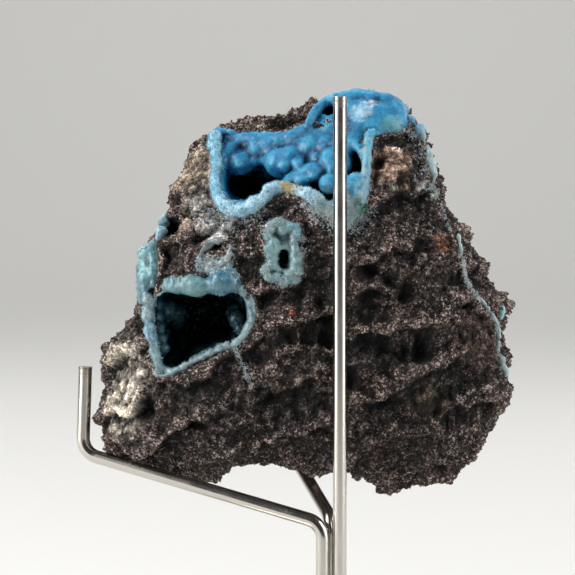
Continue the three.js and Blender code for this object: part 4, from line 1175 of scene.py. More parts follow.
# Loose pale grains beside the crusts: patches as across, up, spread and number, and lines of powder
FRINGE = [
    (8.0, 18.8, 0.9, 140), (10.2, 18.0, 1.0, 180), (12.6, 17.2, 1.1, 220), (15.0, 18.2, 1.1, 220),
    (16.6, 16.8, 0.9, 180), (27.8, 34.6, 0.8, 80), (29.8, 30.6, 0.8, 80), (31.0, 26.4, 0.8, 80),
    (31.8, 22.6, 0.8, 80), (3.9, 18.8, 0.9, 100), (6.2, 17.2, 1.1, 180), (8.0, 16.4, 1.2, 240),
    (10.4, 15.0, 1.2, 240), (12.6, 14.4, 1.3, 240), (15.2, 14.2, 1.3, 220), (17.2, 15.2, 1.1, 160),
    (18.4, 17.0, 0.8, 80), (-13.0, 15.4, 0.9, 80), (-9.4, 14.8, 1.0, 90), (-6.4, 16.4, 0.9, 80),
    (-4.6, 13.0, 0.8, 100), (-3.2, 15.2, 0.8, 80), (3.2, 10.8, 0.6, 90), (3.4, 7.8, 0.6, 80),
    (2.6, 2.8, 0.7, 80), (-1.6, 0.8, 1.1, 90), (-4.6, 4.0, 0.6, 60), (-19.0, 6.0, 0.7, 100),
    (-17.0, 5.8, 0.8, 140), (-15.0, 5.0, 0.8, 140), (-13.4, 6.2, 0.7, 120), (-19.6, 4.4, 0.6, 90),
    (-17.4, 4.2, 0.6, 100), (-19.5, 17.5, 2.0, 220), (-16.5, 14.5, 2.0, 240), (-13.5, 13.4, 1.5, 140),
]
LOWER_VEIN = [(-11.8, -13.8), (-10.9, -15.9), (-10.0, -17.7), (-9.3, -19.5), (-8.4, -21.3)]
SEAM_START = [(32.4, 23.4), (34.8, 17.6), (37.0, 12.2)]
SEAM_LINE = [
    (39.0, 8.4), (39.9, 2.4), (41.5, -0.6), (44.9, -4.8), (47.1, -7.8), (47.4, -14.1), (48.5, -17.4),
    (48.9, -19.0),
]

# Stains and tints, with painted shade and painted light: across, up, reach, colour and strength, and for some
# how far behind the surface
RIM_STAINS = [
    (0.9, 22.0, 2.8, "#b39433", 0.85), (17.2, 17.4, 2.0, "#2c8a62", 0.9), (15.8, 19.4, 1.2, "#4f9a7c", 0.8),
]
AZURE_SHADE = [
    (-10.5, 23.0, 7, CAVE_SHADE, 0.96), (-6.5, 24.5, 5, CAVE_SHADE, 0.9), (15.3, 28.5, 4.5, CAVE_SHADE, 0.97),
    (7.3, 24.3, 3, CAVE_SHADE, 0.9), (9.3, 39.6, 4.5, CAVE_SHADE, 0.95),
]
OCHRE_RIM = [(0.9, 22.0, 2.8, "#b39433", 0.9)]
# Tints of the upper crust; the near-white and pale rows on the crown's lip are painted highlights
AZURE_TINTS_AND_HIGHLIGHTS = [
    (10, 18, 5, "#a9bcc0", 0.8), (15, 18.5, 4, "#9fb4b6", 0.8), (16.8, 17.5, 1.8, "#2f8a63", 0.85),
    (18.8, 40.4, 1.9, "#f2f8fb", 0.85, -0.9), (16.6, 39.0, 2.7, "#bfe6f5", 0.75, -0.9),
    (9.0, 29.5, 2.4, "#b9d3e6", 0.8), (23.3, 36.5, 3.0, "#5f9a9c", 0.7, -0.6),
]
AZURE_RIM_TINTS = [(across, up, 3.1, "#c9e9f6", 0.85) for across, up in WHITE_RIM]
PILLAR_TINTS = [(across, up, 2.0, "#93b3b8", 0.8) for across, up, _ in UPPER_PILLAR[1:]]
TEAL_SHADE = [
    (-19, -7, 6, CAVE_SHADE, 0.85), (-15.5, -5, 6, CAVE_SHADE, 0.85), (-14.5, -9, 6, CAVE_SHADE, 0.85),
    (-20, -11, 6, CAVE_SHADE, 0.85), (-17, -11, 6, CAVE_SHADE, 0.85), (-19, -3, 6, CAVE_SHADE, 0.85),
]
OVERHANG_TINTS = [(-15.0, 1.2, 4, "#33708c", 0.85), (-21.0, 0.2, 3.6, "#729f9f", 0.85)]
# Tints of the lower crust, with painted shade in the notch and painted light on the lower hollow's left inner
# wall
TEAL_TINTS_LIGHT_AND_SHADE = [
    (-19.6, 3.4, 2.2, CAVE_SHADE, 0.9), (-28.6, -4.5, 4.2, "#3d86a0", 0.85), (-29.0, -9.5, 4.0, "#3a809a", 0.85),
    (-31.6, 4.5, 5, "#9ccfd6", 0.7), (-31.0, -10.0, 4, "#7fb0d4", 0.6),
]
# Painted shade on the lobes deep inside the lower hollow and on those of its left wall
INSIDE_SHADE = [(across, up, 2.2 * radius, "#173a46", 0.9) for across, up, radius, _ in LOWER_INSIDE]
WALL_SHADE = [(across, up, 1.8 * radius, "#235c70", 0.9) for across, up, radius, _ in LOWER_WALL]
# Tints of the grey lumps; the near-black last row is painted shade in the notch
LUMP_TINTS_AND_SHADE = [
    (-28.0, 13.4, 3.2, "#8fb6c6", 0.85), (-13.2, 8.2, 2.2, "#b4bdbd", 0.85),
    (-18.6, 8.6, 3.2, "#6b7674", 0.95), (-15.0, 10.8, 2.4, "#8a9190", 0.85),
    (-16.4, 5.2, 2.6, "#7f9da2", 0.8), (-15.0, 3.8, 2.8, "#5f878f", 0.85),
    (-19.4, 3.9, 1.6, "#0b171c", 0.95),
]
POCKET_SHADE = [(-0.9, 6.5, 4, CAVE_SHADE, 0.9)]
POCKET_TINTS = [(1.8, 13.6, 2.4, "#7fb2c8", 0.6)]
SEAM_TINTS = [
    (28.3, 36.8, 2.8, "#4f95bd", 0.8), (29.5, 35.0, 2.4, "#5f9fc0", 0.7), (39.9, 3.0, 2.4, "#86c2be", 0.8),
    (48.0, -5.6, 2.4, "#8fc3cf", 0.7),
]
# Stains and tints of the rock, with painted shade: the deep-shade rows round the knob's outline and in the
# notch, and the near-black rows low down, where the rock faces away from the lights
ROCK_STAINS_AND_SHADE = [
    (-20.5, 27, 7, "#a2937f", 0.75), (-19.5, 19, 5, "#c0b5aa", 0.8), (-16.5, 13.5, 4, "#c8c3bd", 0.75),
    (-2.4, 13.4, 4.5, "#93a5a4", 0.75), (-2.4, 3.0, 4.5, "#8b9d9b", 0.7), (-22.4, 15, 3.4, "#a08f7c", 0.9),
    (10, 16, 5, "#a9b4b2", 0.85), (15, 15, 4.5, "#9fb0ae", 0.85), (7.2, 18.2, 3, "#b3bfc0", 0.85),
    (12.6, 13.6, 3, "#98a5a2", 0.75), (-3.7, 14.4, 1.6, "#d9dcdc", 0.8), (2.6, 10.2, 1.5, "#cfd3d0", 0.8),
    (16.8, 17, 1.8, "#2f8a63", 0.8), (-37, -19, 7, "#cdc6b8", 0.9), (-38, -27, 7, "#c6bdae", 0.9),
    (-32, -28.7, 4.5, "#1d1614", 0.7), (23.5, 27, 5.5, "#8a705e", 0.85),
    (19.4, 31.4, 1.9, CAVE_SHADE, 0.85, -0.5), (20.8, 33.4, 1.9, CAVE_SHADE, 0.85, -0.5),
    (23.4, 34.2, 1.9, CAVE_SHADE, 0.85, -0.5), (25.6, 33.2, 1.7, CAVE_SHADE, 0.8, -0.5),
    (18.9, 27.6, 1.7, CAVE_SHADE, 0.8, -0.5), (25.4, 24.8, 2.0, CAVE_SHADE, 0.8, -1.5),
    (28.2, 25.6, 1.8, CAVE_SHADE, 0.75, -1.0), (24.6, 31.0, 1.7, "#d8cfc6", 0.85, -1.5),
    (29.6, 23.8, 1.9, "#c9c6c2", 0.85, -0.5), (33.0, 21.6, 2.0, "#8d978e", 0.8),
    (35.4, 10.0, 2.6, "#8a5230", 0.6), (32, -24.8, 4, "#85775a", 0.6), (1, -5.7, 0.7, "#8a3d1c", 0.8),
    (38.6, 8.4, 1.0, "#9a4a20", 0.8), (-29.4, 0.1, 1.0, "#9a4a20", 0.8), (-19.6, 3.4, 2.2, CAVE_SHADE, 0.9),
    (23.3, 22.4, 1.2, "#7fb89a", 0.8), (-5.7, -26.7, 0.8, "#5f9a78", 0.8),
    (-38.8, -9.6, 2.0, "#8fa5b0", 0.7), (26, -31, 13, "#150c08", 0.95), (43, -12, 7, "#6a5043", 0.45),
    (-12, -28, 10, "#0e0908", 0.8), (38, -24, 9, "#0e0908", 0.85), (6, -30, 10, "#0e0908", 0.9),
]
# Painted shade laid in those recesses
DIP_SHADE = [(across, up, 3.4, "#0f0b09", 0.75) for across, up in DIPS]


def make_crust(name, nodes, slot, layers, rims, material, scene, bare):
    """A crust from its CAD solid, if one is given to grow on, and layers of lobes with how far each is
    softened, fused into one closed skin that leaves a strip beside the rock bare."""
    settings = scene.hemimorphite_crust
    crust = solids_of(nodes, name, lambda place: 0.0)
    rim = bead_guide(name + "_rim", rims)
    rods = rod_guide(scene.hemimorphite_stand.bend_radius)
    for beads, softening in layers:
        lobes = bead_guide(name + "_lobes", beads)
        grow(crust, lobe_tree(), {"Lobes": lobes})
        even_cells(crust, settings.voxel, softening)
        settle(crust)
        remove(lobes)
    grow(crust, skin_tree(), {
        "Skin": settings.skin, "Border Sink": settings.border_sink, "Border Width": settings.border_width,
        "Bare": bare, "Bead Size": settings.bead_size, "Bead Height": settings.bead_height,
        "Rock": NODES["matrix"], "Rims": rim, "Rods": rods, "Rod Clearance": settings.rod_clearance,
        "Material": material,
    })
    settle(crust)
    remove(rim, rods)
    fit(crust, slot, material)
    return crust


class HEMIMORPHITE_OT_azure_crust(Operator):
    """Builds the azure crust of the upper hollow, with its curtain of lobes and its crown"""
    bl_idname = "hemimorphite.azure_crust"
    bl_label = "Azure Crust"

    # How often each layer is softened, the pale rim's width in millimetres and the strip left bare
    LOBE_ROUNDS = 30
    BUMP_ROUNDS = 10
    RIM_ROUNDS = 6
    RIM_WIDTH = 1.5
    BARE = 0.3 * MM
    POLISH = 0.4

    def execute(self, context):
        scene = context.scene
        tones = scene.hemimorphite_crust
        face = surface_of("upper_crust", "matrix")
        rims = beads_along(face, UPPER_RIM, sink=0.3, reach=2.0, rough=0.2, seed=1)
        edges = beads_along(face, UPPER_TOP_RIM, sink=0.3, reach=1.0, rough=0.2, seed=2)
        mouth = mouth_of(rims + edges)
        lobes = fingers(face, mouth, UPPER_CURTAIN + UPPER_FLOOR)
        lobes += lobes_on(face, CROWN_LOBES, sink=0.72, reach=0.8)
        bumps = fingers(face, mouth, bumps_on(UPPER_CURTAIN + UPPER_FLOOR, number=3, seed=17))
        edges += beads_along(face, UPPER_PILLAR, sink=0.6, reach=1.5, rough=0.2, seed=3)
        edges += beads_along(face, CROWN_ARCH, sink=0.3, reach=1.5, rough=0.1, seed=4)
        sugar = lobes_on(face, SUGARY_ZONE, sink=0.0)
        # Painted shade deep in the hollow and under the crown's arch, a real ochre stain on the rim, and
        # tints with painted highlights on the crown's lip
        spots = stains_and_shade_on(face, AZURE_SHADE) + stains_and_shade_near(rims, OCHRE_RIM) + stains_and_shade_on(face, AZURE_TINTS_AND_HIGHLIGHTS)
        spots += stains_and_shade_near(rims, AZURE_RIM_TINTS) + stains_and_shade_near(edges, PILLAR_TINTS)
        azure = crust_material("hemimorphite crust, azure botryoidal", tones.azure, tones.deep_azure,
                               tones.sky, tones.ice, self.RIM_WIDTH, spots, self.POLISH)
        layers = [(lobes, self.LOBE_ROUNDS), (bumps, self.BUMP_ROUNDS), (rims + edges, self.RIM_ROUNDS)]
        crust = make_crust("azure_crust", ("upper_crust",), "azure_crust", layers, rims + sugar, azure, scene,
                           self.BARE)
        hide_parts("upper_crust")
        return {"FINISHED"}


class HEMIMORPHITE_OT_teal_crust(Operator):
    """Builds the teal crust of the lower hollow, with its toothed rim and the column beside it"""
    bl_idname = "hemimorphite.teal_crust"
    bl_label = "Teal Crust"

    # How often each layer is softened, the pale rims' widths in millimetres and the strip left bare
    LOBE_ROUNDS = 6
    RIM_ROUNDS = 2
    LUMP_ROUNDS = 3
    RIM_WIDTH = 1.1
    LUMP_RIM = 0.3
    BARE = 0.9 * MM
    # Middle and spread of the lobes on the left flank, away from the viewer and up, in millimetres
    FLANK = (-1.0, 92.0)
    FLANK_SPREAD = (4.5, 3.6)

    def execute(self, context):
        scene = context.scene
        tones = scene.hemimorphite_crust
        face = surface_of("lower_crust", "matrix")
        rims = beads_along(face, LOWER_RIM, sink=0.2, reach=1.6, rough=0.4, seed=5, spacing=1.15)
        rims += beads_along(face, LOWER_LEFT_RIM, sink=0.3, reach=1.6, rough=0.45, seed=6, spacing=0.8)
        mouth = mouth_of(rims)
        inside = fingers(face, mouth, LOWER_INSIDE)
        wall = fingers(face, mouth, LOWER_WALL)
        overhang = lobes_on(face, LOWER_OVERHANG, sink=0.1, reach=1.2)
        lobes = inside + wall + overhang
        lobes += beads_along(face, COLUMN, sink=0.2, reach=1.0, rough=0.15, seed=7)
        lobes += beads_along(face, COLUMN_SIDE, sink=0.4, reach=1.0, rough=0.3, seed=8)
        lobes += side_lobes(surface_of("lower_crust"), self.FLANK, self.FLANK_SPREAD, number=60, seed=16)
        lumps = lobes_on(face, LEFT_LUMPS, sink=0.2, reach=0.5)
        lumps += lobes_on(face, SLIT_LOBES, sink=0.5, reach=0.8)
        lumps += beads_along(face, SLIT_BAND, sink=0.5, reach=1.0, rough=0.5, seed=9)
        # Painted shade deep in the hollow, in the notch and on the lobes inside, painted light on the left
        # inner wall, and real tints on the overhang
        spots = stains_and_shade_on(face, TEAL_SHADE) + stains_and_shade_near(overhang, OVERHANG_TINTS)
        spots += stains_and_shade_on(face, TEAL_TINTS_LIGHT_AND_SHADE)
        spots += stains_and_shade_near(inside, INSIDE_SHADE) + stains_and_shade_near(wall, WALL_SHADE)
        teal = crust_material("hemimorphite crust, teal botryoidal", tones.teal, tones.deep_teal, tones.aqua,
                              tones.frost, self.RIM_WIDTH, spots)
        layers = [(lobes, self.LOBE_ROUNDS), (rims, self.RIM_ROUNDS)]
        crust = make_crust("teal_crust", ("lower_crust",), "teal_crust", layers, rims, teal, scene, self.BARE)
        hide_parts("lower_crust")
        # The lumps' own tints, with painted shade in the notch
        grey = crust_material("hemimorphite crust, grey waxy lumps", tones.teal, tones.deep_teal,
                              tones.grey_aqua, tones.grey_aqua, self.LUMP_RIM, stains_and_shade_near(lumps, LUMP_TINTS_AND_SHADE))
        make_crust("teal_lumps", (), "teal_crust", [(lumps, self.LUMP_ROUNDS)], lumps, grey, scene, 0.0)
        return {"FINISHED"}


class HEMIMORPHITE_OT_pale_crusts(Operator):
    """Builds the pale frame of the small pocket and the seam down the right edge"""
    bl_idname = "hemimorphite.pale_crusts"
    bl_label = "Pale Crusts"

    # Shares of the runs' radii that the beads have, how often they are softened, the pale rims' widths in
    # millimetres and the strip left bare
    FRAME_SHARE = 0.45
    SEAM_SHARE = 0.75
    FRAME_ROUNDS = 3
    SEAM_ROUNDS = 2
    FRAME_RIM = 0.6
    SEAM_RIM = 0.7
    BARE = 0.5 * MM

    def execute(self, context):
        scene = context.scene
        tones = scene.hemimorphite_crust
        face = surface_of("pocket_crust", "matrix")
        frame_run = [(across, up, self.FRAME_SHARE * size) for across, up, size in POCKET_RIM]
        rims = beads_along(face, frame_run, sink=0.5, reach=1.5, rough=1.6, seed=11)
        # Painted shade in the pocket's hole, and a real blue tint on its frame
        spots = stains_and_shade_on(face, POCKET_SHADE) + stains_and_shade_near(rims, POCKET_TINTS)
        pale = crust_material("hemimorphite crust, pale drusy", tones.grey_aqua, tones.teal, tones.aqua,
                              tones.grey_aqua, self.FRAME_RIM, spots)
        pocket = make_crust("pocket_lining", ("pocket_crust",), "pale_crust", [(rims, self.FRAME_ROUNDS)],
                            rims, pale, scene, self.BARE)
        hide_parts("pocket_crust")
        face = surface_of("edge_crust", "matrix")
        rims = beads_along(face, UPPER_SEAM, sink=0.5, reach=0.6, rough=0.5, seed=12, spacing=0.5, gaps=0.1)
        seam_run = [(across, up, self.SEAM_SHARE * size) for across, up, size in RIGHT_SEAM]
        rims += beads_along(face, seam_run, sink=0.6, reach=0.6, rough=0.6, seed=13, spacing=0.7, gaps=0.4)
        rims += lobes_on(face, SEAM_LUMPS, sink=0.3)
        turquoise = crust_material("hemimorphite crust, turquoise seam", tones.grey_aqua, tones.aqua,
                                   tones.frost, tones.frost, self.SEAM_RIM, stains_and_shade_near(rims, SEAM_TINTS))
        seam = make_crust("edge_seam", (), "pale_crust", [(rims, self.SEAM_ROUNDS)], rims, turquoise, scene,
                          0.0)
        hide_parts("edge_crust")
        return {"FINISHED"}


class HEMIMORPHITE_OT_druse(Operator):
    """Builds the small crystals that stand on the azure crust, the teal crust and the pocket's lining"""
    bl_idname = "hemimorphite.druse"
    bl_label = "Druse"

    def execute(self, context):
        scene = context.scene
        tones = scene.hemimorphite_crust
        rods = rod_guide(scene.hemimorphite_stand.bend_radius)
        tree = crystal_tree()
        spots = stains_and_shade_on(surface_of("azure_crust"), RIM_STAINS)
        for kind, base, slot, clear, tinted, rim_width in (
                ("azure", "azure_crust", "azure_crust", tones.ice, tones.sky, 1.5),
                ("teal", "teal_crust", "teal_crust", tones.ice, tones.grey_aqua, 1.0),
                ("pocket", "pocket_lining", "pale_crust", tones.ice, tones.grey_aqua, 1.0)):
            material = crystal_material("hemimorphite crystals, " + kind, clear, tinted, spots)
            druse = new_object(kind + "_druse", [])
            druse.data = bpy.data.objects[base].data.copy()
            grow(druse, tree, {
                "Crystal Size": tones.crystal_size, "Density": tones.crystal_density,
                "Rim Width": rim_width * MM, "Patch Size": tones.patch_size, "Seed": tones.crystal_seed,
                "Rods": rods, "Rod Clearance": tones.rod_clearance, "Material": material,
            })
            settle(druse)
            fit(druse, slot, material)
        remove(rods)
        return {"FINISHED"}


class HEMIMORPHITE_OT_rock(Operator):
    """Builds the brown matrix rock and the grains on it"""
    bl_idname = "hemimorphite.rock"
    bl_label = "Rock"

    # Distances from a crust within which rock counts as part of it or as beside it
    ON_CRUST = 0.01 * MM
    BESIDE_CRUST = 0.7 * MM
    ROUNDS = 1

    def execute(self, context):
        scene = context.scene
        settings = scene.hemimorphite_rock
        sunk = scene.hemimorphite_crust.sunk
        crust_skin = surface_of(*CRUST_NODES)

        def closed(place):
            """The rock runs on under the crusts and closes the gap beside them."""
            away = crust_skin.find_nearest(place)[3]
            if away < self.ON_CRUST:
                return -sunk
            return settings.closing if away < self.BESIDE_CRUST else 0.0

        face = surface_of("matrix")
        crests = lobes_on(face, KNOB, sink=0.5) + lobes_on(face, TAN_LUMPS, sink=0.4)
        for seed, ledge in enumerate(LEDGES, start=20):
            crests += beads_along(face, ledge, sink=0.5, reach=0.5, rough=0.4, seed=seed)
        rods = rod_guide(scene.hemimorphite_stand.bend_radius)
        crest_guide = bead_guide("crests", crests)
        dip_guide = new_object("dips", [spot(face, across, up) for across, up in DIPS])
        crusts = bpy.data.collections.new("crusts")
        for name in CRUST_PIECES:
            crusts.objects.link(bpy.data.objects[name])
        # Real stains and tints, with painted shade round the knob, in the notch, low down and in the recesses
        spots = stains_and_shade_on(face, ROCK_STAINS_AND_SHADE + DIP_SHADE)
        material = matrix_material(settings, spots)
        rock = solids_of(("matrix",) + CRUST_NODES, "matrix_rock", closed)
        grow(rock, lobe_tree(), {"Lobes": crest_guide})
        even_cells(rock, settings.voxel, self.ROUNDS)
        grow(rock, rock_tree(), {
            "Lump Size": settings.lump_size, "Lump Height": settings.lump_height,
            "Ledge Size": settings.ledge_size, "Ledge Height": settings.ledge_height,
            "Clod Size": settings.clod_size, "Clod Height": settings.clod_height,
            "Grit Size": settings.grit_size, "Grit Height": settings.grit_height,
            "Dips": dip_guide, "Dip Reach": settings.dip_reach, "Dip Depth": settings.dip_depth,
            "Crusts": crusts, "Crust Fade": settings.crust_fade,
            "Rods": rods, "Rod Clearance": settings.rod_clearance, "Material": material,
        })
        settle(rock)
        rock.data.shade_flat()
        grains = new_object("matrix_grains", [])
        grains.data = rock.data.copy()
        speckle = grain_material(settings, spots)
        grow(grains, grain_tree(), {
            "Grain Size": settings.grain_size, "Density": settings.grain_density, "Seed": settings.grain_seed,
            "Rods": rods, "Rod Clearance": settings.rod_clearance, "Material": speckle,
        })
        settle(grains)
        remove(rods, crest_guide, dip_guide)
        bpy.data.collections.remove(crusts)
        fit(rock, "matrix_rock", material, "matrix")
        fit(grains, "matrix_rock", speckle)
        return {"FINISHED"}


class HEMIMORPHITE_OT_sugar(Operator):
    """Builds the loose pale grains on the rock beside the crusts"""
    bl_idname = "hemimorphite.sugar"
    bl_label = "Sugar"

    def execute(self, context):
        scene = context.scene
        tones = scene.hemimorphite_crust
        face = surface_of("matrix_rock", *CRUST_PIECES)
        clusters = FRINGE + powder_line(LOWER_VEIN, spread=0.32, number=22)
        clusters += powder_line(SEAM_START, spread=0.3, number=12)
        clusters += powder_line(SEAM_LINE, spread=0.34, number=18)
        grains = bead_guide("grains", sprinkle(face, clusters, sink=0.2, seed=14))
        rods = rod_guide(scene.hemimorphite_stand.bend_radius)
        sugar = crystal_material("hemimorphite sugar, pale", tones.sugar, tones.dusty,
                                 stains_and_shade_on(face, RIM_STAINS))
        fringe = new_object("sugary_fringe", [])
        grow(fringe, sugar_tree(), {"Grains": grains, "Rods": rods, "Rod Clearance": tones.rod_clearance,
                                    "Material": sugar})
        settle(fringe)
        remove(grains, rods)
        fit(fringe, "pale_crust", sugar)
        return {"FINISHED"}


class HEMIMORPHITE_OT_rods(Operator):
    """Builds the post and the two bent arms"""
    bl_idname = "hemimorphite.rods"
    bl_label = "Rods"

    # Distance from a rod's sawn end in millimetres, how thick the rod is there, and how scuffed
    END_PROFILE = [(2.8, 1.0, 0.0), (1.6, 1.01, 0.7), (0.9, 1.03, 1.0), (0.35, 1.01, 1.0), (0.0, 0.86, 1.0)]
    SIDES = 32

    def execute(self, context):
        settings = context.scene.hemimorphite_stand
        material = rod_material(settings)
        tree = rod_tree()
        for node, line in rod_lines(settings.bend_radius).items():
            tip = line[-1]
            back = (line[-2] - tip).normalized()
            places = line[:-1] + [tip + distance * MM * back for distance, _, _ in self.END_PROFILE]
            plain = len(line) - 1
            rod = new_object(node + "_rod", places, [(i, i + 1) for i in range(len(places) - 1)])
            for label, column in (("thickness", 1), ("worn", 2)):
                values = [1.0 if column == 1 else 0.0] * plain + [row[column] for row in self.END_PROFILE]
                rod.data.attributes.new(label, "FLOAT", "POINT").data.foreach_set("value", values)
            grow(rod, tree, {"Radius": settings.rod_radius, "Sides": self.SIDES, "Material": material})
            settle(rod)
            rod.data.shade_smooth()
            rod.data.set_sharp_from_angle(angle=SHARP_ANGLE)
            fit(rod, "steel_rod", material, node)
        return {"FINISHED"}


class HEMIMORPHITE_OT_foot(Operator):
    """Builds the round foot with the boss that holds the rods"""
    bl_idname = "hemimorphite.foot"
    bl_label = "Foot"

    SIDES = 128
    ROUND_STEPS = 5
    SOCKET_FLOOR = 3 * MM
    SOCKET_GAP = 0.12 * MM

    def lathe(self, name, profile, middle):
        """A closed solid of revolution about a vertical axis, from radius and height."""
        work = bmesh.new()
        points = [work.verts.new((middle.x + radius, middle.y, height)) for radius, height in profile]
        edges = [work.edges.new(pair) for pair in zip(points, points[1:])]
        bmesh.ops.spin(work, geom=points + edges, cent=(middle.x, middle.y, 0), axis=(0, 0, 1),
                       angle=math.tau, steps=self.SIDES, use_merge=True)
        bmesh.ops.remove_doubles(work, verts=work.verts, dist=WELD)
        bmesh.ops.recalc_face_normals(work, faces=work.faces)
        obj = new_object(name, [])
        work.to_mesh(obj.data)
        work.free()
        return obj

    def rounded(self, radius, height, rounding, start, turn):
        """Points of a quarter round, as radius and height."""
        steps = [start + turn * i / self.ROUND_STEPS for i in range(self.ROUND_STEPS + 1)]
        return [(radius + rounding * math.cos(a), height + rounding * math.sin(a)) for a in steps]

    def execute(self, context):
        settings = context.scene.hemimorphite_stand
        quarter = math.pi / 2
        edge = settings.foot_round
        rim = FOOT_RADIUS - edge
        profile = [(0, 0)] + self.rounded(rim, edge, edge, -quarter, quarter)
        profile += self.rounded(rim, settings.foot_thickness - edge, edge, 0, quarter)
        foot = self.lathe("stand_foot", profile + [(0, settings.foot_thickness)], Vector((0, 0, 0)))
        middle = STEM + Vector((0, STEM_BACK_PITCH / 3, 0))
        top = settings.boss_radius - edge
        boss_profile = [(0, self.SOCKET_FLOOR), (settings.boss_radius, self.SOCKET_FLOOR)]
        boss_profile += [(settings.boss_radius, settings.foot_thickness + edge)]
        boss_profile += self.rounded(top - edge, BOSS_TOP - edge, edge, 0, quarter) + [(0, BOSS_TOP)]
        cutters = [("UNION", self.lathe("boss", boss_profile, middle))]
        hole = settings.rod_radius + self.SOCKET_GAP
        for line in rod_lines(settings.bend_radius).values():
            socket = [(0, self.SOCKET_FLOOR), (hole, self.SOCKET_FLOOR), (hole, 2 * BOSS_TOP),
                      (0, 2 * BOSS_TOP)]
            cutters.append(("DIFFERENCE", self.lathe("socket", socket, line[0])))
        for operation, cutter in cutters:
            cut = foot.modifiers.new(operation, "BOOLEAN")
            cut.operation = operation
            cut.solver = "EXACT"
            cut.object = cutter
        settle(foot)
        remove(*[cutter for _, cutter in cutters])
        foot.data.shade_smooth()
        foot.data.set_sharp_from_angle(angle=SHARP_ANGLE)
        fit(foot, "steel_foot", foot_material(settings), "base")
        return {"FINISHED"}


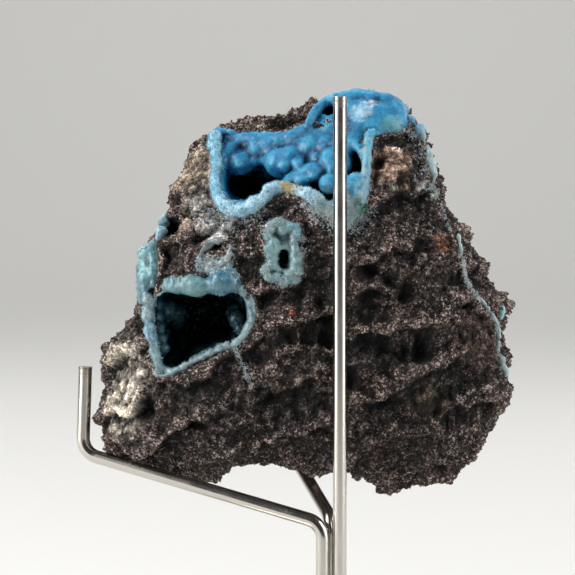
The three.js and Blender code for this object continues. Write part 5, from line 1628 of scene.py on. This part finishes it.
class HEMIMORPHITE_OT_stage(Operator):
    """Sets up the floor, the lights and the camera"""
    bl_idname = "hemimorphite.stage"
    bl_label = "Stage"

    FLOOR_HALF_WIDTH = 2.5
    FLOOR_FRONT = -2.5
    SWEEP_START = 1.3
    SWEEP_RADIUS = 0.6
    SWEEP_STEPS = 24
    WALL_TOP = 2.2
    BACKDROP = Vector((0, SWEEP_START + SWEEP_RADIUS, 0.4))
    # Name, place, aim, size and power of each light, and whether glossy and dull surfaces see it
    LIGHTS = (
        ("key softbox", (-0.6, -0.2, 0.36), TARGET, (0.22, 0.8), "key_power", True, True),
        ("fill softbox", (0.6, -0.2, 0.30), TARGET, (0.2, 0.8), "fill_power", True, True),
        ("top softbox", (-0.05, -0.08, 0.72), TARGET, (0.5, 0.4), "top_power", False, True),
        ("back left light", (-0.45, 0.55, 0.45), TARGET, (0.3, 0.4), "back_power", True, True),
        ("back right light", (0.5, 0.5, 0.35), TARGET, (0.3, 0.4), "back_power", True, True),
        ("rod card", (-0.47, -0.37, 0.2), TARGET, (0.3, 0.9), "card_power", True, False),
        ("rod card", (0.47, -0.37, 0.2), TARGET, (0.3, 0.9), "card_power", True, False),
        ("wall light", (0, 1.0, 1.5), BACKDROP, (1.6, 0.3), "wall_power", True, True),
    )
    SKY = "#c8ccd2"
    SENSOR = 36.0
    CLIP_END = 20

    def softbox(self, name, place, aim, size, power, mirrored, lit):
        """A soft area light aimed at a point, which may be kept out of glossy or of dull surfaces."""
        light = bpy.data.lights.new(name, "AREA")
        light.shape = "RECTANGLE"
        light.size, light.size_y = size
        light.energy = power
        lamp = bpy.data.objects.new(name, light)
        lamp.location = place
        lamp.rotation_euler = (aim - lamp.location).to_track_quat("-Z", "Y").to_euler()
        lamp.visible_glossy = mirrored
        lamp.visible_diffuse = lit
        bpy.context.scene.collection.objects.link(lamp)

    def execute(self, context):
        scene = context.scene
        settings = scene.hemimorphite_stage
        profile = [(self.FLOOR_FRONT, 0.0)]
        for i in range(self.SWEEP_STEPS + 1):
            turn = math.pi / 2 * i / self.SWEEP_STEPS
            profile.append((self.SWEEP_START + self.SWEEP_RADIUS * math.sin(turn),
                            self.SWEEP_RADIUS * (1 - math.cos(turn))))
        profile.append((self.SWEEP_START + self.SWEEP_RADIUS, self.WALL_TOP))
        half = self.FLOOR_HALF_WIDTH
        vertices = [(side, y, z) for y, z in profile for side in (-half, half)]
        faces = [(i, i + 1, i + 3, i + 2) for i in range(0, len(vertices) - 2, 2)]
        floor = new_object("floor", vertices, faces=faces)
        floor.data.shade_smooth()
        floor.data.materials.append(floor_material(settings))
        for name, place, aim, size, strength, mirrored, lit in self.LIGHTS:
            self.softbox(name, Vector(place), aim, size, getattr(settings, strength), mirrored, lit)
        world = bpy.data.worlds.new("studio")
        world.use_nodes = True
        sky = world.node_tree.nodes["Background"]
        sky.inputs["Color"].default_value = linear(self.SKY)
        sky.inputs["Strength"].default_value = settings.world
        scene.world = world
        scene.view_settings.view_transform = "Standard"
        camera = bpy.data.cameras.new("camera")
        camera.sensor_width = self.SENSOR
        camera.lens = self.SENSOR * SIGHT_DISTANCE / SIGHT_WIDTH
        camera.clip_end = self.CLIP_END
        viewer = bpy.data.objects.new("camera", camera)
        viewer.location = EYE
        viewer.rotation_euler = (TARGET - EYE).to_track_quat("-Z", "Y").to_euler()
        scene.collection.objects.link(viewer)
        scene.camera = viewer
        return {"FINISHED"}


class HEMIMORPHITE_PT_panel(Panel):
    """Lists the steps that build the specimen and its stand, and their settings"""
    bl_idname = "HEMIMORPHITE_PT_panel"
    bl_label = "Hemimorphite"
    bl_space_type = "VIEW_3D"
    bl_region_type = "UI"
    bl_category = "Hemimorphite"

    def draw(self, context):
        for operator in OPERATORS:
            self.layout.operator(operator.bl_idname)
        for group in SETTINGS:
            values = getattr(context.scene, group)
            for name in values.__annotations__:
                self.layout.prop(values, name)


OPERATORS = (HEMIMORPHITE_OT_stage, HEMIMORPHITE_OT_azure_crust, HEMIMORPHITE_OT_teal_crust,
             HEMIMORPHITE_OT_pale_crusts, HEMIMORPHITE_OT_druse, HEMIMORPHITE_OT_rock,
             HEMIMORPHITE_OT_sugar, HEMIMORPHITE_OT_rods, HEMIMORPHITE_OT_foot)
SETTINGS = {
    "hemimorphite_rock": RockSettings,
    "hemimorphite_crust": CrustSettings,
    "hemimorphite_stand": StandSettings,
    "hemimorphite_stage": StageSettings,
}
CLASSES = tuple(SETTINGS.values()) + OPERATORS + (HEMIMORPHITE_PT_panel,)


def register():
    for cls in CLASSES:
        bpy.utils.register_class(cls)
    for name, group in SETTINGS.items():
        setattr(bpy.types.Scene, name, PointerProperty(type=group))


def unregister():
    for name in SETTINGS:
        delattr(bpy.types.Scene, name)
    for cls in reversed(CLASSES):
        bpy.utils.unregister_class(cls)


def main():
    register()
    bpy.ops.hemimorphite.stage()
    bpy.ops.hemimorphite.azure_crust()
    bpy.ops.hemimorphite.teal_crust()
    bpy.ops.hemimorphite.pale_crusts()
    bpy.ops.hemimorphite.druse()
    bpy.ops.hemimorphite.rock()
    bpy.ops.hemimorphite.sugar()
    bpy.ops.hemimorphite.rods()
    bpy.ops.hemimorphite.foot()


if __name__ == "__main__":
    main()
